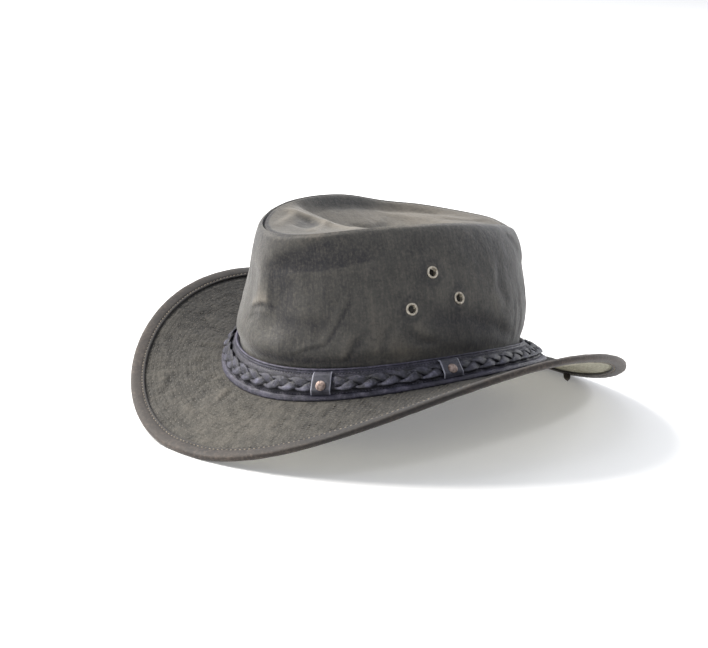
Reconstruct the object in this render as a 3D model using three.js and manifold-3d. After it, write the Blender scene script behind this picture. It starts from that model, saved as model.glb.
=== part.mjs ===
// Oilskin hat with a plaited leather band. Millimetres, +Z up, front towards -Y,
// wearer's left towards +X. The hat rests on the front and back of its brim at z = 0.
import * as THREE from 'three';
import { mergeVertices } from 'three/addons/utils/BufferGeometryUtils.js';
import Module from 'manifold-3d';

const wasm = await Module();
wasm.setup();

// Driving dimensions
const seatGap = 0.3;            // clearance between pieces that touch on the real hat
const roundSteps = 76;          // steps round the brim and its binding
const crownSteps = 64;          // steps round the crown and the band

// An oval section: how far it reaches in front, behind and to each side of the middle, where its
// widest point lies along Y, and its height at the front, side and back. hump lifts the shoulders
// between front and side, and farLift raises the wearer's right side.
const oval = (front, back, side, widestY, zFront, zSide, zBack, hump = 0, farLift = 0) =>
  ({ front, back, side, widestY, zFront, zSide, zBack, hump, farLift });

// The brim's middle surface
const brim = {
  inner: oval(99.0, 99.5, 84.0, 0.7, 28.8, 40.0, 29.0),
  outer: oval(165.8, 165.8, 147.7, 0, 0.8, 62.7, 0.8),
  restHeight: 1.45,             // where the floor presses the middle surface flat
  thickness: 2.0,
  curlFront: 1.12,              // exponent of the fall towards the front and back edges
  curlSide: 1.35,               // exponent of the rise towards the side edges
  rows: 7,
};

// The folded tape round the brim's edge
const binding = {
  width: 7.8,
  thickness: 0.8,
  tail: { angle: 171.5, inwards: 7.0, length: 4.2, width: 4.0, thickness: 0.9, slope: 44 },
};

// Outer surface of the crown's side wall, from the hem up to the seam with the tip
const wall = {
  thickness: 1.5,
  sections: [
    oval(102.0, 102.5, 86.8, 0.7, 30.0, 42.0, 30.2),                 // hem, on the brim
    oval(100.6, 99.5, 83.0, 0.7, 37, 48, 34),                        // middle of the strap
    oval(98.7, 95.6, 80.2, 0.7, 46, 54.6, 38.5),                     // top of the strap
    oval(102.2, 99.0, 80.8, 1.2, 57, 64.5, 52.5),                    // fullness above the strap
    oval(100.0, 102.8, 76.8, 2.5, 74, 80.5, 71),                     // lower wall
    oval(98.8, 103.8, 69.4, 5, 93, 100, 90, -0.5),                   // upper wall
    oval(99.4, 102.6, 61.4, 7, 111.5, 118.5, 104.5, -1, 1),          // where the shoulder starts
    oval(98.0, 99.8, 54.6, 8.2, 123.8, 128.4, 112.8, -1.2, 1.5),     // crest of the shoulder
    oval(96.0, 97.4, 50.6, 8.2, 126.6, 129.8, 114.9, -1.2, 1.5),     // edge at the tip's seam
  ],
  // Main dents and swells: place by angle and share up the sections, half sizes, how deep, and
  // how many degrees the dent leans over the full height
  dents: [
    { angle: -2, up: 0.62, halfAngle: 8, halfUp: 0.2, depth: -1.6, lean: 0 },   // front ridge
    { angle: 1, up: 0.46, halfAngle: 7, halfUp: 0.06, depth: 2.2, lean: 0 },    // pucker under it
    { angle: 22, up: 0.72, halfAngle: 15, halfUp: 0.12, depth: 1.8, lean: 0 },  // flat beside it
    { angle: 31, up: 0.5, halfAngle: 7, halfUp: 0.13, depth: 1.4, lean: 55 },   // slanting crease
    { angle: 138, up: 0.6, halfAngle: 10, halfUp: 0.06, depth: 1.5, lean: 0 },  // notch at the back
    { angle: -60, up: 0.55, halfAngle: 16, halfUp: 0.14, depth: 1.2, lean: 30 },
    { angle: -125, up: 0.5, halfAngle: 14, halfUp: 0.12, depth: 1.4, lean: -20 },
  ],
  rows: [0, 1, 2, 2.5, 3, 4, 5, 6, 7, 8],     // in sections, from the hem up
};

// Tip: a membrane on the seam oval with a long hollow pressed into it. The hollow starts behind a
// cross ridge that bends forwards towards the seam on each side. A lip beside the seam takes a
// share of its depth, and a long easy slope the rest.
const tip = {
  edge: oval(95.6, 97.0, 50.2, 8.2, 126.2, 129.4, 114.5, -1.2, 1.5),
  thickness: 1.5,
  hollow: {
    depth: 14, ridgeY: -38, ridgeBend: 20, run: 18, deepTo: 30, end: 88, frontDepth: 1.5, backDepth: 7,
    lip: 0.4, lipRun: 0.17,
  },
  rings: [1, 0.93, 0.83, 0.6, 0.32],
};

// The leather strap: its lower edge stands on the brim, at a share of the brim's width
const strap = {
  lowerShare: { front: 0.139, side: 0.188, back: 0.235 },
  upper: oval(100.6, 98.0, 82.1, 0.7, 46.2, 54.9, 39.0),
  thickness: 1.6,
};

const braid = { low: 0.25, high: 0.82, height: 2.3, edgeHeight: 1.0 };

const keeper = { angles: [29, 75.5, -151, -104.5], width: 13, low: 0.17, high: 0.93, thickness: 1.2 };

const stud = { radius: 3.4, height: 2.1, up: 0.44 };

// Vent eyelets: place on the wall by angle and by share of the way up its sections
const eyelet = {
  places: [{ angle: 73.6, up: 0.655 }, { angle: 83.3, up: 0.552 }, { angle: 63.6, up: 0.534 }],
  flangeRadius: 3.85,
  tubeRadius: 2.75,
  holeRadius: 2.15,
  washerRadius: 3.6,
  flangeHeight: 1.1,
  washerHeight: 0.5,
  stand: 0.5,                   // clearance over the curved wall under the flanges
  sides: 10,
};

const colours = {
  oilskin: { color: 0x4f4e45, roughness: 0.62, metalness: 0 },
  brimCloth: { color: 0x5c5d4e, roughness: 0.7, metalness: 0 },
  tape: { color: 0x4a4038, roughness: 0.65, metalness: 0 },
  strapLeather: { color: 0x33333d, roughness: 0.5, metalness: 0 },
  braidLeather: { color: 0x2d2d36, roughness: 0.45, metalness: 0 },
  brass: { color: 0x9a8358, roughness: 0.4, metalness: 0.9 },
};

// Ovals and surfaces

const degrees = Math.PI / 180;

function ovalHeight(o, angle) {
  const mean = (o.zFront + o.zBack) / 4 + o.zSide / 2;
  const tilt = (o.zFront - o.zBack) / 2 - o.hump;
  const saddle = (o.zFront + o.zBack) / 4 - o.zSide / 2;
  const s = Math.sin(angle);
  const lift = o.farLift * (1 - s) / 2 * s * s;
  return mean + tilt * Math.cos(angle) + saddle * Math.cos(2 * angle) + o.hump * Math.cos(3 * angle) + lift;
}

// angle 0 is the front, 90 degrees the wearer's left
function ovalPoint(o, angle) {
  const c = Math.cos(angle);
  const reach = c > 0 ? o.front + o.widestY : o.back - o.widestY;
  return new THREE.Vector3(o.side * Math.sin(angle), o.widestY - reach * c, ovalHeight(o, angle));
}

// Unit normal of a surface point(angle, along), on the side that faces outwards and up
function surfaceNormal(point, angle, along) {
  const step = 1e-3;
  const a = point(angle + step, along).sub(point(angle - step, along));
  const b = point(angle, along + step).sub(point(angle, along - step));
  const normal = a.cross(b).normalize();
  const outAndUp = point(angle, along).setZ(0).normalize().setZ(1);
  return normal.dot(outAndUp) < 0 ? normal.negate() : normal;
}

function offset(point, angle, along, distance) {
  return point(angle, along).addScaledVector(surfaceNormal(point, angle, along), distance);
}

function brimSurface(angle, share) {
  const from = ovalPoint(brim.inner, angle);
  const to = ovalPoint(brim.outer, angle);
  to.z = Math.max(to.z, brim.restHeight);
  const s = Math.sin(angle) ** 2;
  const power = brim.curlFront + (brim.curlSide - brim.curlFront) * s;
  const result = from.clone().lerp(to, share);
  result.z = from.z + (to.z - from.z) * Math.pow(Math.max(share, 1e-6), power);
  return result;
}

// Share of the brim's width that a distance inwards from its edge stands for
function brimShare(angle, inwards) {
  const width = ovalPoint(brim.inner, angle).distanceTo(ovalPoint(brim.outer, angle));
  return 1 - inwards / width;
}

const wallCurves = new Map();

function wallSurface(angle, up) {
  const key = angle.toFixed(6);
  if (!wallCurves.has(key)) {
    const points = wall.sections.map((o) => ovalPoint(o, angle));
    wallCurves.set(key, new THREE.CatmullRomCurve3(points, false, 'centripetal'));
  }
  const place = wallCurves.get(key).getPoint(THREE.MathUtils.clamp(up, 0, 1));
  const outwards = place.clone().setZ(0).normalize();
  return place.addScaledVector(outwards, -dentDepth(angle / degrees, up));
}

function dentDepth(turn, up) {
  return wall.dents.reduce((sum, dent) => {
    const away = THREE.MathUtils.euclideanModulo(turn - dent.angle + 180, 360) - 180;
    const across = (away - dent.lean * (up - dent.up)) / dent.halfAngle;
    const along = (up - dent.up) / dent.halfUp;
    return sum + dent.depth * Math.exp(-across * across - along * along);
  }, 0);
}

function strapFoot(angle, inwards = 0) {
  const { front, side, back } = strap.lowerShare;
  const share = (front + back) / 4 + side / 2 + (front - back) / 2 * Math.cos(angle)
    + ((front + back) / 4 - side / 2) * Math.cos(2 * angle);
  const width = ovalPoint(brim.inner, angle).distanceTo(ovalPoint(brim.outer, angle));
  return offset(brimSurface, angle, share - inwards / width, brim.thickness / 2 + seatGap);
}

function strapSurface(angle, up) {
  return strapFoot(angle).lerp(ovalPoint(strap.upper, angle), up);
}

const smooth = (low, high, value) => THREE.MathUtils.smoothstep(value, low, high);

// How far the tip is pressed in at a place on it
function hollowDepth(place) {
  const h = tip.hollow;
  const ridge = h.ridgeY - h.ridgeBend * (place.x / tip.edge.side) ** 2;
  const front = h.frontDepth + (h.depth - h.frontDepth) * smooth(ridge, ridge + h.run, place.y);
  return front - (h.depth - h.backDepth) * smooth(h.deepTo, h.end, place.y);
}

function hollowShare(inwards) {
  const { lip, lipRun } = tip.hollow;
  return lip * smooth(0, lipRun, inwards) + (1 - lip) * smooth(0.03, 0.8, inwards);
}

function tipSurface(angle, ring) {
  const o = tip.edge;
  const rim = ovalPoint(o, angle);
  const mean = (o.zFront + o.zBack) / 4 + o.zSide / 2;
  const place = new THREE.Vector3(rim.x * ring, o.widestY + (rim.y - o.widestY) * ring, 0);
  const membrane = mean + (rim.z - mean) * ring ** 1.5;
  place.z = membrane - hollowDepth(place) * hollowShare(1 - ring);
  return place;
}

// Solids

function solidFrom(positions, indices) {
  const geometry = new THREE.BufferGeometry();
  geometry.setAttribute('position', new THREE.Float32BufferAttribute(positions.flatMap((p) => p.toArray()), 3));
  geometry.setIndex(indices);
  if (signedVolume(geometry) < 0) geometry.setIndex(indices.slice().reverse());
  return geometry;
}

function signedVolume(geometry) {
  const p = geometry.getAttribute('position');
  const index = geometry.getIndex();
  const [a, b, c] = [new THREE.Vector3(), new THREE.Vector3(), new THREE.Vector3()];
  let sum = 0;
  for (let i = 0; i < index.count; i += 3) {
    a.fromBufferAttribute(p, index.getX(i));
    b.fromBufferAttribute(p, index.getX(i + 1));
    c.fromBufferAttribute(p, index.getX(i + 2));
    sum += a.dot(b.cross(c)) / 6;
  }
  return sum;
}

// A closed band: loops are the rings of a section that closes on itself
function bandSolid(loops) {
  const across = loops.length;
  const round = loops[0].length;
  const indices = [];
  for (let k = 0; k < across; k += 1) {
    for (let i = 0; i < round; i += 1) {
      const a = k * round + i;
      const b = k * round + (i + 1) % round;
      const c = ((k + 1) % across) * round + i;
      const d = ((k + 1) % across) * round + (i + 1) % round;
      indices.push(a, b, c, b, d, c);
    }
  }
  return solidFrom(loops.flat(), indices);
}

// A closed disc: rings from the top's middle out to the edge and back along the underside
function discSolid(topMiddle, loops, bottomMiddle) {
  const round = loops[0].length;
  const positions = [topMiddle, ...loops.flat(), bottomMiddle];
  const last = positions.length - 1;
  const at = (k, i) => 1 + k * round + i % round;
  const indices = [];
  for (let i = 0; i < round; i += 1) {
    indices.push(0, at(0, i), at(0, i + 1));
    for (let k = 0; k + 1 < loops.length; k += 1) {
      indices.push(at(k, i), at(k + 1, i), at(k, i + 1), at(k, i + 1), at(k + 1, i), at(k + 1, i + 1));
    }
    indices.push(at(loops.length - 1, i), last, at(loops.length - 1, i + 1));
  }
  return solidFrom(positions, indices);
}

function loop(steps, point) {
  return Array.from({ length: steps }, (_, i) => point(2 * Math.PI * i / steps));
}

// A slab of a band-shaped surface between two angles, closed all round: section lists
// (up, height) pairs of its closed outline
function patchSolid(surface, section, middle, halfAngle, steps) {
  const rows = [];
  for (let i = 0; i <= steps; i += 1) {
    const angle = middle + halfAngle * (2 * i / steps - 1);
    rows.push(section.map(([up, height]) => offset(surface, angle, up, height)));
  }
  const sides = section.length;
  const indices = [];
  for (let i = 0; i < steps; i += 1) {
    for (let k = 0; k < sides; k += 1) {
      const a = i * sides + k;
      const b = i * sides + (k + 1) % sides;
      indices.push(a, b, a + sides, b, b + sides, a + sides);
    }
  }
  const flat = section.map((pair) => new THREE.Vector2(pair[0] * 20, pair[1]));
  const caps = THREE.ShapeUtils.triangulateShape(flat, []);
  const end = steps * sides;
  caps.forEach(([a, b, c]) => indices.push(a, c, b, a + end, b + end, c + end));
  return solidFrom(rows.flat(), indices);
}

function toManifold(geometry) {
  const bare = geometry.clone();
  bare.deleteAttribute('normal');
  bare.deleteAttribute('uv');
  const merged = mergeVertices(bare, 1e-4);
  return new wasm.Manifold(new wasm.Mesh({
    numProp: 3,
    vertProperties: new Float32Array(merged.getAttribute('position').array),
    triVerts: new Uint32Array(merged.getIndex().array),
  }));
}

function fromManifold(solid) {
  const mesh = solid.getMesh();
  const geometry = new THREE.BufferGeometry();
  geometry.setAttribute('position', new THREE.BufferAttribute(mesh.vertProperties, 3));
  geometry.setIndex(new THREE.BufferAttribute(mesh.triVerts, 1));
  return geometry;
}

// A matrix that turns local +Y to a surface's normal at a point on it
function seatOn(surface, angle, along, height) {
  const normal = surfaceNormal(surface, angle, along);
  const turn = new THREE.Quaternion().setFromUnitVectors(new THREE.Vector3(0, 1, 0), normal);
  return new THREE.Matrix4().compose(offset(surface, angle, along, height), turn, new THREE.Vector3(1, 1, 1));
}

// Pieces

// The wall's inner face; at the hem and at the tip's seam the cut edge stands upright
function wallInside(angle, up) {
  if (up === 0 || up === 1) {
    const p = wallSurface(angle, up);
    const inwards = new THREE.Vector3(-p.x, -p.y, 0).normalize();
    return up === 1
      ? p.add(new THREE.Vector3(0, 0, -wall.thickness))
      : p.addScaledVector(inwards, wall.thickness);
  }
  return offset(wallSurface, angle, up, -wall.thickness);
}

function crownWall() {
  const ups = wall.rows.map((row) => row / (wall.sections.length - 1));
  const outside = ups.map((up) => loop(crownSteps, (angle) => wallSurface(angle, up)));
  const inside = ups.map((up) => loop(crownSteps, (angle) => wallInside(angle, up)));
  let solid = toManifold(bandSolid([...outside, ...inside.reverse()]));
  for (const side of [1, -1]) {
    for (const place of eyelet.places) {
      const hole = new THREE.CylinderGeometry(
        eyelet.tubeRadius + seatGap, eyelet.tubeRadius + seatGap, 8, eyelet.sides);
      hole.applyMatrix4(seatOn(wallSurface, side * place.angle * degrees, place.up, 0));
      solid = solid.subtract(toManifold(hole));
    }
  }
  return fromManifold(solid);
}

function crownTip() {
  const top = tip.rings.map((ring) => loop(crownSteps, (angle) => tipSurface(angle, ring)));
  const down = (p) => p.clone().add(new THREE.Vector3(0, 0, -tip.thickness));
  const under = top.map((ring) => ring.map(down));
  const middle = tipSurface(0, 0);
  return discSolid(middle, [...top.reverse(), ...under], down(middle));
}

function brimCloth() {
  const shares = Array.from({ length: brim.rows }, (_, i) => i / (brim.rows - 1));
  const side = (height) => shares.map((share) => loop(roundSteps, (angle) =>
    offset(brimSurface, angle, Math.max(share, 0.002), height)));
  return bandSolid([...side(brim.thickness / 2), ...side(-brim.thickness / 2).reverse()]);
}

// Section of the tape: inwards distance from the brim's edge, and height off its middle surface
function tapeSection() {
  const slot = brim.thickness / 2 + seatGap;
  const face = slot + binding.thickness;
  const nose = seatGap + binding.thickness;
  return [
    [binding.width, face], [1.0, face], [-0.4, face * 0.8], [-nose, face * 0.36],
    [-nose, -face * 0.36], [-0.4, -face * 0.8], [1.0, -face], [binding.width, -face],
    [binding.width, -slot], [-seatGap, -slot], [-seatGap, slot], [binding.width, slot],
  ];
}

// The tape is pressed flat where it rests, so nothing reaches below z = 0
function brimBinding() {
  const loops = tapeSection().map(([inwards, height]) => loop(roundSteps, (angle) => {
    const p = offset(brimSurface, angle, brimShare(angle, inwards), height);
    p.z = Math.max(p.z, 0);
    return p;
  }));
  return fromManifold(toManifold(bandSolid(loops)).add(toManifold(tapeTail())));
}

// The tape's trimmed end, a small pointed tongue that hangs under the back of the brim
function tapeTail() {
  const t = binding.tail;
  const angle = t.angle * degrees;
  const inTape = brim.thickness / 2 + seatGap + binding.thickness * 0.6;
  const root = offset(brimSurface, angle, brimShare(angle, t.inwards), -inTape);
  const shape = new THREE.Shape();
  shape.moveTo(-t.width / 2, 0);
  shape.lineTo(t.width / 2, 0);
  shape.lineTo(t.width / 2, -t.length * 0.5);
  shape.lineTo(0, -t.length);
  shape.lineTo(-t.width / 2, -t.length * 0.6);
  const tongue = new THREE.ExtrudeGeometry(shape, { depth: t.thickness, bevelEnabled: false });
  tongue.translate(0, 0, -t.thickness / 2);
  tongue.rotateX(t.slope * degrees);
  tongue.translate(root.x, root.y, root.z);
  return tongue;
}

function bandStrap() {
  const wallAt = (up, height) => loop(crownSteps, (angle) => offset(strapSurface, angle, up, height));
  return bandSolid([wallAt(0, 0), wallAt(0.5, 0), wallAt(1, 0),
    wallAt(1, -strap.thickness), wallAt(0.5, -strap.thickness),
    loop(crownSteps, (angle) => strapFoot(angle, strap.thickness))]);
}

function bandBraid() {
  const middle = (braid.low + braid.high) / 2;
  const quarter = (braid.high - braid.low) / 4;
  const line = (up, height) => loop(crownSteps, (angle) => offset(strapSurface, angle, up, height + seatGap));
  return bandSolid([
    line(braid.low, 0), line(braid.low, braid.edgeHeight), line(middle - quarter, braid.height),
    line(middle + quarter, braid.height), line(braid.high, braid.edgeHeight), line(braid.high, 0),
  ]);
}

function bandKeeper(angle) {
  const over = braid.height + 2 * seatGap;
  const edge = seatGap;
  const t = keeper.thickness;
  const under = [
    [keeper.low, edge], [braid.low - 0.06, edge], [braid.low + 0.02, over - 0.3], [0.42, over],
    [0.66, over], [braid.high - 0.02, over - 0.3], [braid.high + 0.05, edge], [keeper.high, edge],
  ];
  const top = [[keeper.high, edge + t], [braid.high, over + t * 0.75], [0.66, over + t], [0.42, over + t],
    [braid.low, over + t * 0.75], [keeper.low, edge + t]];
  const radius = strapFoot(angle).setZ(0).length();
  return patchSolid(strapSurface, [...under, ...top], angle, keeper.width / 2 / radius, 3);
}

function bandStud() {
  const points = [new THREE.Vector2(0, 0), new THREE.Vector2(stud.radius * 0.94, 0)];
  for (let i = 0; i <= 3; i += 1) {
    const turn = i * 30 * degrees;
    points.push(new THREE.Vector2(stud.radius * Math.cos(turn), 0.4 + (stud.height - 0.4) * Math.sin(turn)));
  }
  points[points.length - 1].x = 0;
  return mergeVertices(strip(new THREE.LatheGeometry(points, eyelet.sides)), 1e-4);
}

function strip(geometry) {
  geometry.deleteAttribute('normal');
  geometry.deleteAttribute('uv');
  return geometry;
}

function ventEyelet() {
  const e = eyelet;
  const floor = -(wall.thickness + e.stand);
  const points = [
    [e.holeRadius, floor - e.washerHeight], [e.washerRadius, floor - e.washerHeight],
    [e.washerRadius, floor], [e.tubeRadius, floor], [e.tubeRadius, e.stand], [e.flangeRadius, e.stand],
    [e.flangeRadius - 0.5, e.stand + e.flangeHeight * 0.8], [e.holeRadius + 0.6, e.stand + e.flangeHeight],
    [e.holeRadius, e.stand + e.flangeHeight * 0.4],
  ].map(([r, h]) => new THREE.Vector2(r, h));
  points.push(points[0].clone());
  return mergeVertices(strip(new THREE.LatheGeometry(points, e.sides)), 1e-4);
}

// The hat

const hat = new THREE.Group();
const materials = Object.fromEntries(Object.entries(colours).map(([name, look]) =>
  [name, new THREE.MeshStandardMaterial({ name, ...look, flatShading: true })]));

function addPiece(name, geometry, material, matrix = null) {
  const solid = signedVolume(geometry) < 0 ? turnedOut(geometry) : geometry;
  const mesh = new THREE.Mesh(solid, materials[material]);
  mesh.name = name;
  if (matrix) {
    matrix.decompose(mesh.position, mesh.quaternion, mesh.scale);
  }
  hat.add(mesh);
}

function turnedOut(geometry) {
  geometry.setIndex(Array.from(geometry.getIndex().array).reverse());
  return geometry;
}

addPiece('crown_wall', crownWall(), 'oilskin');
addPiece('crown_tip', crownTip(), 'oilskin');
addPiece('brim', brimCloth(), 'brimCloth');
addPiece('brim_binding', brimBinding(), 'tape');
addPiece('band_strap', bandStrap(), 'strapLeather');
addPiece('band_braid', bandBraid(), 'braidLeather');

keeper.angles.forEach((angle, i) => {
  addPiece(`band_keeper_${i + 1}`, bandKeeper(angle * degrees), 'strapLeather');
  const seat = braid.height + 3 * seatGap + keeper.thickness;
  addPiece(`band_stud_${i + 1}`, bandStud(), 'brass', seatOn(strapSurface, angle * degrees, stud.up, seat));
});

for (const [side, name] of [[1, 'left'], [-1, 'right']]) {
  eyelet.places.forEach((place, i) => {
    addPiece(`eyelet_${name}_${i + 1}`, ventEyelet(), 'brass',
      seatOn(wallSurface, side * place.angle * degrees, place.up, 0));
  });
}

export default hat;
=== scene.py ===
import bpy
import math
import numpy as np
from mathutils import Matrix, Vector, noise


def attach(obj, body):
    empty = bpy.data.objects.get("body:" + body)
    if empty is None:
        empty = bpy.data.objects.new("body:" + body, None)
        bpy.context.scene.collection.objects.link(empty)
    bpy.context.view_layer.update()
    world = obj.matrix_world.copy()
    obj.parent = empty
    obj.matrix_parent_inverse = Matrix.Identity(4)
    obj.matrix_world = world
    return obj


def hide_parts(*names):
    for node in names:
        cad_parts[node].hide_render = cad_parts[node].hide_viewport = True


# Oilskin hat with a plaited leather band, dressed for a studio picture.
# Front towards -Y, wearer's left towards +X. The surfaces are worked out in millimetres,
# and turned into metres where a piece gets its shape.

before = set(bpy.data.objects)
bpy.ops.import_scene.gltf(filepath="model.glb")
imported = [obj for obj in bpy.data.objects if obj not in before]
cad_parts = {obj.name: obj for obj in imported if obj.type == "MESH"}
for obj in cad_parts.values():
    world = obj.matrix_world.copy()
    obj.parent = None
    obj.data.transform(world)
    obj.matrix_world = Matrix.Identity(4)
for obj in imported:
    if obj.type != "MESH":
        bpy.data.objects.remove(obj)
bpy.ops.object.select_all(action='DESELECT')
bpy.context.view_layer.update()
mm = 0.001
print("frame loaded")

# The camera, at the picture's angle

cameraValues = {
    'azimuth': 45.3, 'elevation': 14.8, 'roll': 2.4, 'distance': 1.5,
    'target': (0.0, 0.0007, 0.0318), 'lens': 118.75, 'shiftX': -0.0403, 'shiftY': 0.0511,
}


def placeCamera(v):
    turn = math.radians(v['azimuth'])
    rise = math.radians(v['elevation'])
    bpy.ops.object.camera_add()
    camera = bpy.context.object
    camera.name = 'studioCamera'
    back = Vector((math.sin(turn) * math.cos(rise), -math.cos(turn) * math.cos(rise), math.sin(rise)))
    right = Vector((math.cos(turn), math.sin(turn), 0.0))
    axes = Matrix((right, back.cross(right), back)).transposed()
    axes = axes @ Matrix.Rotation(math.radians(v['roll']), 3, 'Z')
    camera.matrix_world = Matrix.Translation(Vector(v['target']) + v['distance'] * back) @ axes.to_4x4()
    camera.data.lens = v['lens']
    camera.data.sensor_width = 36.0
    camera.data.shift_x = v['shiftX']
    camera.data.shift_y = v['shiftY']
    camera.data.clip_start = 0.05
    bpy.context.scene.camera = camera


placeCamera(cameraValues)
print("camera placed")


# Surfaces of the hat

def oval(front, back, side, widestY, zFront, zSide, zBack, hump=0.0, farLift=0.0):
    return dict(front=front, back=back, side=side, widestY=widestY, zFront=zFront, zSide=zSide,
                zBack=zBack, hump=hump, farLift=farLift)


# A value that changes smoothly round the hat, from those at its front, sides and back
def roundHat(front, side, back, angle):
    ends = (front + back) / 4
    tilt = (front - back) / 2
    return ends + side / 2 + tilt * np.cos(angle) + (ends - side / 2) * np.cos(2 * angle)


# angle 0 is the front of the hat, a quarter turn is the wearer's left
def ovalPlace(o, angle):
    c = np.cos(angle)
    s = np.sin(angle)
    reach = np.where(c > 0, o['front'] + o['widestY'], o['back'] - o['widestY'])
    height = roundHat(o['zFront'], o['zSide'], o['zBack'], angle)
    height = height + o['hump'] * (np.cos(3 * angle) - c) + o['farLift'] * (1 - s) / 2 * s * s
    return np.stack([o['side'] * s, o['widestY'] - reach * c, height], -1)


def unit(v):
    return v / np.maximum(np.linalg.norm(v, axis=-1, keepdims=True), 1e-9)


# Level direction away from the hat's upright axis
def outwards(place):
    return unit(place * (1, 1, 0))


# 1 at the middle, fading over the half width
def bell(value, middle, half):
    return np.exp(-((value - middle) / half) ** 2)


def smoothStep(low, high, value):
    t = np.clip((value - low) / (high - low), 0.0, 1.0)
    return t * t * (3 - 2 * t)


# Unit normal of a surface, on the side that faces outwards and up
def normalOf(surface, angle, along):
    step = 1e-3
    around = surface(angle + step, along) - surface(angle - step, along)
    across = surface(angle, along + step) - surface(angle, along - step)
    normal = unit(np.cross(around, across))
    place = surface(angle, along)
    outAndUp = outwards(place) + (0, 0, 1)
    facing = np.sign(np.sum(normal * outAndUp, -1, keepdims=True))
    return normal * np.where(facing == 0, 1, facing)


def raised(surface, angle, along, height):
    return surface(angle, along) + normalOf(surface, angle, along) * np.asarray(height)[..., None]


brimShape = {
    'inner': oval(99.0, 99.5, 84.0, 0.7, 28.8, 40.0, 29.0),
    'outer': oval(165.8, 165.8, 147.7, 0.0, 0.8, 62.7, 0.8),
    'restHeight': 1.45, 'thickness': 2.0, 'curlFront': 1.12, 'curlSide': 1.35,
}


def brimMiddle(angle, share):
    start = ovalPlace(brimShape['inner'], angle)
    edge = ovalPlace(brimShape['outer'], angle)
    edge[..., 2] = np.maximum(edge[..., 2], brimShape['restHeight'])
    power = roundHat(brimShape['curlFront'], brimShape['curlSide'], brimShape['curlFront'], angle)
    place = start + (edge - start) * share[..., None]
    place[..., 2] = start[..., 2] + (edge[..., 2] - start[..., 2]) * np.maximum(share, 1e-6) ** power
    return place


def brimWidth(angle):
    gap = ovalPlace(brimShape['inner'], angle) - ovalPlace(brimShape['outer'], angle)
    return np.linalg.norm(gap, axis=-1)


crownShape = {
    'sections': [
        oval(102.0, 102.5, 86.8, 0.7, 30.0, 42.0, 30.2),
        oval(100.6, 99.5, 83.0, 0.7, 37.0, 48.0, 34.0),
        oval(98.7, 95.6, 80.2, 0.7, 46.0, 54.6, 38.5),
        oval(102.2, 99.0, 80.8, 1.2, 57.0, 64.5, 52.5),
        oval(100.0, 102.8, 76.8, 2.5, 74.0, 80.5, 71.0),
        oval(98.8, 103.8, 69.4, 5.0, 93.0, 100.0, 90.0, -0.5),
        oval(99.4, 102.6, 61.4, 7.0, 111.5, 118.5, 104.5, -1.0, 1.0),
        oval(98.0, 99.8, 54.6, 8.2, 123.8, 128.4, 112.8, -1.2, 1.5),
        oval(96.0, 97.4, 50.6, 8.2, 126.6, 129.8, 114.9, -1.2, 1.5),
    ],
    'thickness': 1.5,
    # the main dents: angle, share up, half angle, half share, depth, lean over the full height
    'dents': [
        (-2, 0.62, 8, 0.2, -1.6, 0),
        (1, 0.46, 7, 0.06, 2.2, 0),
        (22, 0.72, 15, 0.12, 1.8, 0),
        (31, 0.5, 7, 0.13, 1.4, 55),
        (138, 0.6, 10, 0.06, 1.5, 0),
        (-60, 0.55, 16, 0.14, 1.2, 30),
        (-125, 0.5, 14, 0.12, 1.4, -20),
    ],
    # where the rim of the crown sags: angle, half angle, how far
    'sags': [(155, 17, 5.0), (-112, 14, 1.8)],
}


# Centripetal curve through the sections at every angle
def throughSections(sections, angle, up):
    rings = [ovalPlace(o, angle) for o in sections]
    rings = [2 * rings[0] - rings[1]] + rings + [2 * rings[-1] - rings[-2]]
    rings = np.stack(rings)
    spans = len(sections) - 1
    along = np.clip(up, 0.0, 1.0) * spans
    first = np.minimum(along.astype(int), spans - 1)
    t = (along - first)[..., None]
    spots = np.arange(angle.size)
    a, b, c, d = [rings[first + k, spots] for k in range(4)]

    def gap(p, q):
        return np.sum((p - q) ** 2, -1, keepdims=True) ** 0.25

    ab, bc, cd = gap(a, b), gap(b, c), gap(c, d)
    leave = ((b - a) / ab - (c - a) / (ab + bc) + (c - b) / bc) * bc
    arrive = ((c - b) / bc - (d - b) / (bc + cd) + (d - c) / cd) * bc
    square = 3 * (c - b) - 2 * leave - arrive
    cube = 2 * (b - c) + leave + arrive
    return b + leave * t + square * t ** 2 + cube * t ** 3


# Soft dents: rows of middle angle, share up, half angle, half share, depth, lean
def dentDepth(dents, angle, up):
    turn = np.degrees(angle)
    total = np.zeros(angle.shape)
    for middle, height, halfAngle, halfUp, depth, lean in dents:
        away = (turn - middle + 180) % 360 - 180
        across = (away - lean * (up - height)) / halfAngle
        along = (up - height) / halfUp
        total += depth * np.exp(-across ** 2 - along ** 2)
    return total


# The same round the hat alone: rows of angle, half angle, depth
def roundDepth(rows, angle):
    return dentDepth([(turn, 0, half, 1, depth, 0) for turn, half, depth in rows], angle, angle * 0)


def rimSag(angle):
    return roundDepth(crownShape['sags'], angle)


# Small tools for modelling

def editMode():
    bpy.ops.object.mode_set(mode='EDIT')


def objectMode():
    bpy.ops.object.mode_set(mode='OBJECT')


def onlyThis(piece):
    bpy.ops.object.select_all(action='DESELECT')
    piece.select_set(True)
    bpy.context.view_layer.objects.active = piece


# One edit-mode operator on the whole of a piece
def edited(piece, operator, **settings):
    onlyThis(piece)
    editMode()
    bpy.ops.mesh.select_all(action='SELECT')
    operator(**settings)
    objectMode()


def facesOut(piece):
    edited(piece, bpy.ops.mesh.normals_make_consistent, inside=False)


def applyAll(piece):
    onlyThis(piece)
    for modifier in list(piece.modifiers):
        bpy.ops.object.modifier_apply(modifier=modifier.name)


def thicken(piece, name, thickness, offset):
    solid = piece.modifiers.new(name, 'SOLIDIFY')
    solid.thickness = thickness * mm
    solid.offset = offset


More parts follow.
